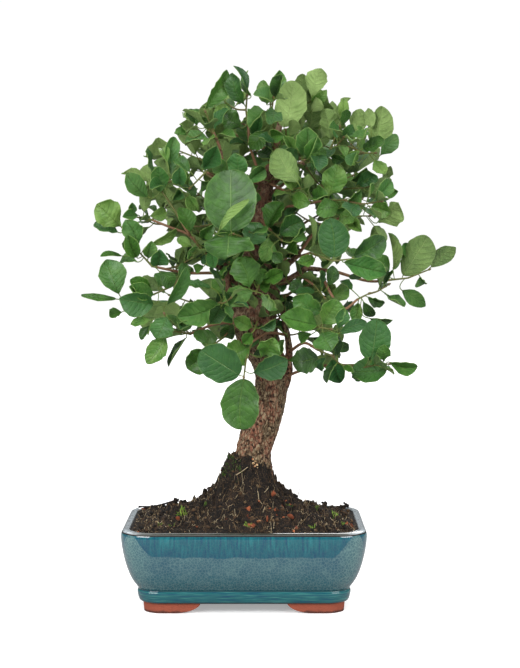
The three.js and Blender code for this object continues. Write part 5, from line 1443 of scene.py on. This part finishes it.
class BonsaiLook(bpy.types.PropertyGroup):
    # The band below the lip paints the reflection of the dark room over the teal glaze, and the bowl's milky
    # colour is partly a painted reflection of the pale floor. The band's blue also streaks the foot band.
    glaze_band: tint("Band", "Deep glaze below the lip", 12, 88, 100)
    glaze_band_blue: tint("Band, blue", "Bluest streaks in the deep glaze", 7, 68, 95)
    glaze_band_light: tint("Band streaks", "Paler streaks in the deep glaze", 26, 112, 120)
    glaze_bowl: tint("Bowl", "Milky glaze on the bowl", 66, 103, 111)
    glaze_bowl_dark: tint("Bowl clouds", "Darker clouds in the milky glaze", 36, 80, 98)
    glaze_low: tint("Bowl, low", "Glaze low on the bowl", 20, 84, 96)
    glaze_corner: tint("Corners", "Thin glaze on the corners", 84, 126, 126)
    glaze_base: tint("Foot band", "Glaze on the band above the feet", 16, 92, 98)
    glaze_base_light: tint("Foot band streaks", "Paler streaks on the foot band", 56, 124, 122)
    glaze_dark: tint("Grooves", "Glaze in the grooves", 24, 66, 74)
    glaze_lip: tint("Lip", "Thin glaze on the lip", 50, 55, 50)
    glaze_lip_side: tint("Lip, ends", "Thin pale glaze on the lip's short sides", 178, 188, 194)
    glaze_lip_dark: tint("Lip, dark", "Clay that shows through on the lip", 40, 32, 25)
    glaze_crackle: tint("Crackle", "Fine pale lines in the glaze", 124, 156, 152)
    clay: tint("Clay", "Unglazed clay of the feet", 178, 92, 66)
    clay_dark: tint("Clay, dark", "Darker grains of the clay", 132, 64, 46)
    # A darker clay, laid in a ragged strip along the ground.
    clay_stain: tint("Clay, stained", "Clay along the ground", 84, 46, 36)
    peat: tint("Soil", "Damp peat", 46, 33, 24)
    # Painted shade: the near-black of shaded hollows, laid in patches over the peat.
    peat_dark: tint("Soil, dark", "Hollows in the peat", 7, 5, 4)
    peat_light: tint("Soil, light", "Dry fibres in the peat", 104, 82, 56)
    bark: tint("Bark", "Cork bark", 104, 82, 60)
    bark_furrow: tint("Bark furrows", "Deep furrows of the bark", 44, 32, 24)
    bark_ridge: tint("Bark ridges", "Worn ridges of the bark", 126, 106, 80)
    bark_grey: tint("Bark, grey", "Weathered cork", 168, 148, 118)
    bark_red: tint("Bark, red", "Young bark where the cork has split", 156, 98, 76)
    bark_high: tint("Young bark", "Smoother bark of the upper wood", 112, 84, 70)
    twig: tint("Twig bark", "Bark of the thin twigs", 108, 80, 58)
    twig_light: tint("Twig bark, light", "Lighter bark of the thin twigs", 152, 112, 80)
    leaf_dark: tint("Leaf, dark", "Old leaves, upper face", 24, 60, 14)
    leaf_green: tint("Leaf", "Leaves of the season, upper face", 68, 116, 36)
    # A painted sheen: the blue-green that the upper faces of some leaves lean to.
    leaf_cool: tint("Leaf, cool", "Blue-green leaves, upper face", 46, 100, 52)
    leaf_young: tint("Leaf, young", "Young leaves, upper face", 126, 158, 76)
    under_dark: tint("Underside", "Underside of old leaves", 78, 110, 56)
    under_green: tint("Underside, pale", "Underside of the season's leaves", 124, 154, 82)
    under_young: tint("Underside, young", "Underside of young leaves", 158, 188, 112)
    vein: tint("Veins", "Rib and veins", 136, 172, 92)
    under_vein: tint("Underside veins", "Rib and veins on the underside", 164, 188, 118)
    margin: tint("Margin", "Edge of the blades", 92, 124, 52)
    shoot: tint("Shoots", "Green shoots and stalks", 96, 118, 44)


class BonsaiSizes(bpy.types.PropertyGroup):
    blade_thickness: length_property("Blade thickness", "Thickness of a leaf", 0.0004, 0.0001, 0.0008)
    bark_voxel: length_property("Bark detail", "Smallest detail of the bark", 0.0011, 0.0005, 0.004)
    bark_depth: length_property("Bark depth", "How deep the furrows of the bark are", 0.0011, 0, 0.003)
    crumbs: number_property("Crumbs", "Crumbs of peat on the soil", 2600, 4000)
    fibres: number_property("Fibres", "Root and peat fibres on the soil", 2300, 3000)
    chips: number_property("Bark chips", "Chips of bark on the soil", 46, 300)


def colours_of(look):
    """The colours that the panel shows, as plain values."""
    return Values(**{name: tuple(getattr(look, name)) for name in BonsaiLook.__annotations__})


class BONSAI_OT_pot(bpy.types.Operator):
    """Makes the glazed pot and its four bare feet"""
    bl_idname = "bonsai.pot"
    bl_label = "Pot and feet"

    def execute(self, context):
        look = colours_of(context.scene.bonsai_look)
        outline = smooth_line(np.array(POT_OUTLINE, float), POT_OUTLINE_STEPS * (len(POT_OUTLINE) - 1))
        shell = Cluster()
        shell.skin([pot_ring(height, inset) for height, inset in outline])
        body = shell.piece("pot_body", glaze_material(look))
        for side in (-1, 1):
            bpy.ops.object.select_all(action="DESELECT")
            bpy.ops.mesh.primitive_cylinder_add(
                vertices=DRAIN.sides, radius=DRAIN.radius * METRES, depth=DRAIN.drill * METRES,
                location=into_scene((side * DRAIN.across, 0, FLOOR_TOP)))
            cut(body, context.object)
        shade(body, POT_CREASE)
        finished(body, ["pot"])
        outer, inner = Cluster(), Cluster()
        outer.skin([pot_ring(0, FOOT_RING.inset_bottom), pot_ring(FOOT_RING.top, FOOT_RING.inset_top)])
        inset = FOOT_RING.inset_top + FOOT_RING.width
        inner.skin([pot_ring(-1, inset), pot_ring(FOOT_RING.top + 1, inset)])
        feet = outer.piece("pot_feet", clay_material(look))
        cut(feet, inner.piece("inner"))
        cut(feet, foot_arch(*FOOT_ARCHES["lengthwise"], along_x=True))
        cut(feet, foot_arch(*FOOT_ARCHES["depthwise"], along_x=False))
        shade(feet, POT_CREASE)
        finished(feet, ["pot"])
        return {"FINISHED"}


def cut(piece, tool):
    """Takes a tool's volume out of a piece, and the tool away."""
    apply_modifier(piece, "BOOLEAN", operation="DIFFERENCE", object=tool, solver="EXACT")
    bpy.data.objects.remove(tool)


class BONSAI_OT_screens(bpy.types.Operator):
    """Makes the plastic net over each drain hole"""
    bl_idname = "bonsai.screens"
    bl_label = "Drain screens"

    def execute(self, context):
        plastic = screen_material()
        bar = DRAIN.screen_side / DRAIN.holes - DRAIN.hole_side
        for side, name in ((-1, "left"), (1, "right")):
            bpy.ops.object.select_all(action="DESELECT")
            middle = (side * DRAIN.across, 0, FLOOR_TOP + GAP + DRAIN.screen_thickness / 2)
            bpy.ops.mesh.primitive_grid_add(x_subdivisions=DRAIN.holes, y_subdivisions=DRAIN.holes,
                                            size=DRAIN.screen_side * METRES, location=into_scene(middle))
            net = context.object
            net.name = f"screen_{name}"
            bpy.ops.object.transform_apply(location=True)
            with editing(net):
                bpy.ops.mesh.inset(thickness=bar / 2 * METRES, use_individual=True)
                bpy.ops.mesh.delete(type="FACE")
            apply_modifier(net, "SOLIDIFY", thickness=DRAIN.screen_thickness * METRES, offset=0)
            net.data.materials.append(plastic)
            finished(net, [f"drain_screen_{name}"])
        return {"FINISHED"}


class BONSAI_OT_soil(bpy.types.Operator):
    """Makes the mound of soil, with crumbs, fibres, chips of bark and moss on it"""
    bl_idname = "bonsai.soil"
    bl_label = "Soil"

    def execute(self, context):
        look = colours_of(context.scene.bonsai_look)
        sizes = context.scene.bonsai_sizes
        soil_mound(look)
        draw = seeded_draws(LITTER_SEED)
        bpy.ops.object.select_all(action="DESELECT")
        bpy.ops.mesh.primitive_ico_sphere_add(subdivisions=1, radius=1)
        ball = blank_mesh(context.object)
        peat_crumbs(draw, ball, sizes.crumbs)
        peat_fibres(draw, sizes.fibres)
        bark_chips(draw, ball, sizes.chips, look)
        moss_tufts(draw)
        return {"FINISHED"}


def soil_mound(look):
    rings = [pot_ring(height, inset + GAP) for height, inset in reversed(POT_OUTLINE[-POT_RINGS_UNDER_SOIL:])]
    rings[0][:, 2] += GAP
    edge = pot_ring(SOIL.at_wall, SOIL.edge)
    rings.append(edge)
    for step in range(1, SOIL.rings + 1):
        share = step / (SOIL.rings + 0.5)
        ring = edge.copy()
        for point in ring:
            point[:2] += (np.array(SOIL.middle) - point[:2]) * share
            point[2] = soil_height(point[0], point[1], min(1, share * SOIL.climb))
        rings.append(ring)
    mound = Cluster()
    mound.skin(rings)
    body = mound.piece("soil_mound", soil_material(look))
    with editing(body):
        bpy.ops.mesh.subdivide(number_cuts=1)
    for vertex in body.data.vertices:
        point = from_scene(vertex.co)
        if point[2] > SOIL.at_wall - SOIL.top_from:
            vertex.co.z += soil_lumps(point) * METRES
    shade(body)
    finished(body, ["soil"])


def peat_crumbs(draw, ball, count):
    crumbs = Cluster()
    for _ in range(count):
        size = drawn(draw, CRUMB.size, CRUMB.power)
        made = lump(draw, ball, size, CRUMB.flatness, soil_place(draw))
        crumbs.add(*made, tone=draw() * (1 - CRUMB.darker * max(0, size - CRUMB.large)))
    piece = crumbs.piece("peat_crumbs", litter_material("crumbs"))
    shade(piece)
    finished(piece)


def peat_fibres(draw, count):
    """Fibres that lie on the clods, some of them with a lifted end, and a few twigs among them."""
    rule = FIBRE
    strands = Cluster()
    for number in range(count):
        line = [soil_place(draw) + UP * rule.above]
        heading = draw() * 2 * math.pi
        length = drawn(draw, rule.length, rule.length_power)
        curl = (draw() - 0.5) * rule.curl
        lift = draw() * (rule.lying if number % rule.each_lifted else rule.lifted)
        for i in range(rule.bends):
            heading += curl / rule.bends
            x, y, _ = line[-1] + around(heading) * length / rule.bends
            if edge_share(x, y) <= rule.wall:
                break
            line.append(lumpy_place(x, y) + UP * (rule.above + lift * (i + 1) / rule.bends))
        if len(line) > 2:
            thick = drawn(draw, rule.thickness, rule.thickness_power)
            strands.tube(np.array(line), [thick] * len(line), rule.sides, tone=draw())
    for path, thick, tone in LITTER_TWIGS:
        line = smooth_line(placed(path), LITTER_TWIG.steps)
        radii = np.linspace(thick, thick * LITTER_TWIG.taper, len(line))
        strands.tube(line, radii, LITTER_TWIG.sides, tone=tone)
    piece = strands.piece("peat_fibres", litter_material("fibres"))
    shade(piece)
    finished(piece)


def bark_chips(draw, ball, count, look):
    """Chips of bark, every other one in the middle of the front, clumps of peat and the cut end of a root."""
    chips = Cluster()
    for number in range(count):
        if number % 2:
            centre = soil_place(draw)
        else:
            seen = seen_on_soil(drawn(draw, CHIP.across), drawn(draw, CHIP.down))
            centre = lumpy_place(seen[0], seen[1])
        size = drawn(draw, CHIP.size, CHIP.power)
        chips.add(*lump(draw, ball, size, CHIP.flatness, centre + UP * CHIP.above), tone=draw())
    for across, down, depth, size in PEAT_CLUMPS:
        for _ in range(CLUMP.lumps):
            centre = place(across, down, depth) + jitter(draw) * size * CLUMP.spread
            chips.add(*lump(draw, ball, size * CLUMP.share, CLUMP.flatness, centre), slot=1)
    for across, down, size in CUT_ROOT.lumps:
        centre = seen_on_soil(across, down) + UP * CHIP.above - VIEW * CUT_ROOT.forward
        chips.add(*lump(draw, ball, size, CUT_ROOT.flatness, centre), tone=1.0)
    finished(chips.piece("bark_chips", litter_material("chips"), soil_material(look)))


def moss_tufts(draw):
    moss = Cluster()
    for across, down, count, tone in MOSS_TUFTS:
        centre = seen_on_soil(across, down)
        for _ in range(count):
            away = around(draw() * 2 * math.pi)
            x, y, _ = centre + away * MOSS.reach * draw()
            foot = lumpy_place(x, y)
            lean = away * drawn(draw, MOSS.lean)
            high = UP * drawn(draw, MOSS.rise)
            blade = np.array([foot, foot + lean * MOSS.knee[0] + high * MOSS.knee[1], foot + lean + high])
            moss.tube(blade, MOSS.radii, MOSS.sides, tone=MOSS.tone[0] * tone + MOSS.tone[1] * draw())
    finished(moss.piece("moss_tufts", litter_material("moss")))


class BONSAI_OT_wood(bpy.types.Operator):
    """Makes the trunk, its limbs and the twigs that carry the sprays, as one grown piece"""
    bl_idname = "bonsai.wood"
    bl_label = "Trunk, limbs and twigs"

    def execute(self, context):
        look = colours_of(context.scene.bonsai_look)
        sizes = context.scene.bonsai_sizes
        stems = Cluster()
        steps = STEMS.steps * len(TRUNK)
        radii = smooth_line([np.array([row[3]]) for row in TRUNK], steps)[:, 0]
        stems.tube(smooth_line(placed(TRUNK), steps), radii, STEMS.trunk_sides)
        for _, (start, end), path in LIMBS:
            line = smooth_line(placed(path), STEMS.steps * len(path))
            stems.tube(line, np.linspace(start, end, len(line)), STEMS.limb_sides)
        wood = stems.piece("tree_wood")
        apply_modifier(wood, "REMESH", mode="VOXEL", voxel_size=sizes.bark_voxel)
        roughen_bark(wood, sizes.bark_depth)
        twigs = Cluster()
        for spray in grown_sprays():
            line = smooth_line(spray.stem.wood, TWIG.steps * (len(spray.stem.wood) - 1))
            radii = np.linspace(TWIG.radii[spray.kind], SHOOT.radii[0], len(line))
            twigs.tube(line, radii, TWIG.sides, slot=1)
        finishes = [bark_material(look), twig_material(look)]
        fine = twigs.piece("twigs", *finishes)
        wood.data.materials.clear()
        for material in finishes:
            wood.data.materials.append(material)
        wood = joined(wood, fine)
        shade(wood)
        finished(wood, ["trunk"])
        return {"FINISHED"}


def roughen_bark(wood, depth):
    """Raises ridges of cork along the stems, less on the thin ones."""
    rule = RIDGES
    low = place(*rule.foot)[2]
    normals = [vertex.normal.copy() for vertex in wood.data.vertices]
    for vertex, normal in zip(wood.data.vertices, normals):
        point = from_scene(vertex.co)
        ridge = 1 - abs(noise.noise(Vector(point / (rule.width, rule.width, rule.height)))) * rule.sharpness
        fine = noise.noise(Vector(point) / rule.fine_width)
        thick = max(rule.least, min(1, rule.at_foot - (point[2] - low) / rule.thinner_over))
        vertex.co += normal * depth * thick * (rule.share * ridge + rule.fine_share * fine - rule.sunk)


class BONSAI_OT_sprays(bpy.types.Operator):
    """Makes each leafy spray: its shoot, its stalks and its veined blades"""
    bl_idname = "bonsai.sprays"
    bl_label = "Leafy sprays"

    def execute(self, context):
        look = colours_of(context.scene.bonsai_look)
        veins = vein_group()
        finishes = [
            leaf_material("leaf_upper", veins, (look.leaf_dark, look.leaf_green, look.leaf_young),
                          look.leaf_cool, look.vein, UPPER_SIDE),
            leaf_material("leaf_under", veins, (look.under_dark, look.under_green, look.under_young),
                          look.under_green, look.under_vein, UNDER_SIDE),
            toned_material("leaf_margin", 0.6, (0.0, look.margin), (1.0, look.leaf_young)),
            toned_material("green_shoot", 0.6, (0.0, look.twig), (0.5, look.shoot), (1.0, look.shoot)),
        ]
        blanks = {size: blade_blank(*grid) for size, grid in BLADE_GRIDS.items()}
        thickness = context.scene.bonsai_sizes.blade_thickness
        for number, sprig in enumerate(inner_sprigs()):
            blades = grown_blades(sprig.leaves, blanks, SPRIG_SEED + number, TONE.inner_lightness)
            stems = grown_stems(sprig.leaves, sprig.line, SPRIGS.shoot_radii, SHOOT.inner_tone)
            leafy_piece(f"inner_sprig_{number + 1:02d}", blades, stems, finishes, thickness)
        for number, spray in enumerate(grown_sprays()):
            blades = grown_blades(spray.leaves, blanks, SPRAY_SEED + number, TONE.lightness)
            stems = grown_stems(spray.leaves, smooth_shoot(spray.stem), SHOOT.radii, SHOOT.tone)
            name = spray.name.replace("spray", "leafy")
            leafy_piece(name, blades, stems, finishes, thickness, [spray.name])
        return {"FINISHED"}


def blade_blank(along, across):
    """A flat blade between -1 and 1 whose ends are gathered to a point: its corners and faces."""
    bpy.ops.object.select_all(action="DESELECT")
    bpy.ops.mesh.primitive_grid_add(x_subdivisions=across, y_subdivisions=along, size=2, enter_editmode=True)
    blank = bpy.context.object
    for end in (-1, 1):
        bpy.ops.mesh.select_all(action="DESELECT")
        bpy.ops.object.mode_set(mode="OBJECT")
        for vertex in blank.data.vertices:
            vertex.select = abs(vertex.co.y - end) < 1e-4
        bpy.ops.object.mode_set(mode="EDIT")
        bpy.ops.mesh.merge(type="CENTER")
    bpy.ops.object.mode_set(mode="OBJECT")
    corners, faces = blank_mesh(blank)
    return corners, [face[::-1] for face in faces]


def grown_blades(leaves, blanks, seed, lightness):
    """The blades of a spray, each with its own tone unless the leaf has one."""
    draw = seeded_draws(seed)
    blades = Cluster()
    for leaf in leaves:
        corners, faces = blanks[leaf.size]
        s = (1 - np.cos((corners[:, 1] + 1) / 2 * math.pi)) / 2
        v = corners[:, 0]
        points = living_blade(leaf, s, v, draw)
        paler = (leaf.foot[2] - CROWN_CENTRE[2]) / TONE.paler_per
        tone = np.clip(lightness + TONE.span * draw() + paler, *TONE.limits)
        points = np.clip(points, BOX_LOW + CAD_THICKNESS / 2, BOX_HIGH - CAD_THICKNESS / 2)
        blades.add(points, faces, tone=getattr(leaf, "tone", tone), uvs=np.column_stack([(v + 1) / 2, s]))
    return blades


def grown_stems(leaves, line, radii, tone):
    """The green shoot with a bud at its end, and the stalks, which run from it into the ribs."""
    stems = Cluster()
    t = np.linspace(0, 1, STALK.steps + 1)
    shares = np.column_stack([(1 - t) ** 2, 2 * t * (1 - t), t**2])
    widths = np.linspace(*STALK.radii, len(t) + 1)
    widths[-1] *= STALK.end_share
    for leaf in leaves:
        rib = unit(leaf.tip - leaf.foot)
        bend = leaf.foot - rib * STALK.bend * np.linalg.norm(leaf.foot - leaf.root)
        stalk = [*(shares @ np.array([leaf.root, bend, leaf.foot])), leaf.foot + rib * STALK.into_rib]
        stems.tube(np.array(stalk), widths, STALK.sides, slot=3, tone=STALK.tone)
    stems.tube(line, np.linspace(*radii, len(line)), SHOOT.sides, slot=3, tone=tone)
    along = unit(line[-1] - line[-2])
    bud = line[-1] + np.outer(np.linspace(0, BUD.length, len(BUD.radii)), along)
    stems.tube(bud, BUD.radii, SHOOT.sides, slot=3, tone=BUD.tone)
    return stems


def smooth_shoot(stem):
    """The shoot's centre line, from inside the wood on, in short steps."""
    points = [stem.shoot[0] - SHOOT.into_wood * unit(stem.shoot[1] - stem.shoot[0])]
    for low, high in zip(stem.shoot[:-1], stem.shoot[1:]):
        points.extend(low + (high - low) * i / SHOOT.steps for i in range(SHOOT.steps))
    return np.array([*points, stem.shoot[-1]])


def leafy_piece(name, blades, stems, finishes, thickness, nodes=()):
    piece = blades.piece(name, *finishes)
    apply_modifier(piece, "SOLIDIFY", thickness=thickness, offset=0, material_offset=1, material_offset_rim=2)
    piece = joined(piece, stems.piece("stems", *finishes))
    shade(piece, LEAF_CREASE)
    finished(piece, nodes)


class BONSAI_OT_stage(bpy.types.Operator):
    """Makes the pale floor, the soft studio lights and the camera"""
    bl_idname = "bonsai.stage"
    bl_label = "Stage, lights and camera"

    def execute(self, context):
        studio_floor()
        studio_world(context.scene)
        sun = bpy.data.lights.new("light_dome", "SUN")
        sun.energy = DOME.strength
        sun.angle = math.radians(DOME.angle)
        added("light_dome", sun).rotation_euler = (math.radians(DOME.tilt), 0, 0)
        for name, location, size, power in LAMPS:
            lamp = bpy.data.lights.new(name, "AREA")
            lamp.shape = "RECTANGLE"
            lamp.size, lamp.size_y = size
            lamp.energy = power
            hung = added(name, lamp)
            hung.location = location
            hung.rotation_euler = (Vector(LAMPS_AIM) - Vector(location)).to_track_quat("-Z", "Y").to_euler()
        context.scene.view_settings.view_transform = "Standard"
        context.scene.camera = photo_camera()
        return {"FINISHED"}


def studio_floor():
    """Pale paper that glows a little where the camera looks straight at it."""
    bpy.ops.object.select_all(action="DESELECT")
    bpy.ops.mesh.primitive_plane_add(size=PAPER.side, location=(0, 0, 0))
    floor = bpy.context.object
    floor.name = "studio_floor"
    bpy.ops.object.transform_apply(location=True)
    material, tree = new_material("studio_paper")
    seen = put(tree, "ShaderNodeLightPath").outputs["Is Camera Ray"]
    surfaced(material, mixed(tree, seen, (PAPER.bounce,) * 3 + (1,), (PAPER.seen,) * 3 + (1,)),
             roughness=PAPER.roughness, Emission_Color=(1, 1, 1, 1),
             Emission_Strength=times(tree, seen, PAPER.glow))
    floor.data.materials.append(material)


def studio_world(scene):
    """A white room: bright behind the tree, softer as light and dim in what the glaze mirrors."""
    scene.world = scene.world or bpy.data.worlds.new("studio")
    scene.world.use_nodes = True
    tree = scene.world.node_tree
    path = put(tree, "ShaderNodeLightPath")
    strength = SKY.ambient
    for ray, light in (("Is Camera Ray", SKY.seen), ("Is Glossy Ray", SKY.mirrored)):
        strength = maths(tree, "MULTIPLY_ADD", path.outputs[ray], light - SKY.ambient, strength)
    background = tree.nodes["Background"]
    feed(tree, background.inputs["Color"], (1, 1, 1, 1))
    feed(tree, background.inputs["Strength"], strength)


def photo_camera():
    """A level camera with the photograph's framing, shifted only as far as that needs."""
    camera = bpy.data.cameras.new("photo_view")
    camera.sensor_width = FILM_WIDTH
    camera.lens = FILM_WIDTH * EYE.distance / (PHOTO_SIZE[1] * STEP)
    camera.shift_y = (EYE.down_step - PHOTO_SIZE[1] / 2) / PHOTO_SIZE[1]
    standing = added("photo_view", camera)
    standing.location = into_scene((EYE.across, -EYE.distance, EYE.height))
    standing.rotation_euler = (math.radians(90), 0, 0)
    return standing


class BONSAI_PT_panel(bpy.types.Panel):
    """Lists the steps that build the bonsai"""
    bl_idname = "BONSAI_PT_panel"
    bl_label = "Cork oak bonsai"
    bl_space_type = "VIEW_3D"
    bl_region_type = "UI"
    bl_category = "Bonsai"

    def draw(self, context):
        for step in STEPS:
            self.layout.operator(step.bl_idname)
        for group in (context.scene.bonsai_sizes, context.scene.bonsai_look):
            for name in group.__annotations__:
                self.layout.prop(group, name)


STEPS = (BONSAI_OT_stage, BONSAI_OT_pot, BONSAI_OT_screens, BONSAI_OT_soil, BONSAI_OT_wood, BONSAI_OT_sprays)
CLASSES = (BonsaiLook, BonsaiSizes, *STEPS, BONSAI_PT_panel)


def register():
    for listed in CLASSES:
        bpy.utils.register_class(listed)
    bpy.types.Scene.bonsai_look = PointerProperty(type=BonsaiLook)
    bpy.types.Scene.bonsai_sizes = PointerProperty(type=BonsaiSizes)


def unregister():
    del bpy.types.Scene.bonsai_look
    del bpy.types.Scene.bonsai_sizes
    for listed in reversed(CLASSES):
        bpy.utils.unregister_class(listed)


def main():
    register()
    bpy.ops.bonsai.stage()
    bpy.ops.bonsai.pot()
    bpy.ops.bonsai.screens()
    bpy.ops.bonsai.soil()
    bpy.ops.bonsai.wood()
    bpy.ops.bonsai.sprays()


if __name__ == "__main__":
    main()
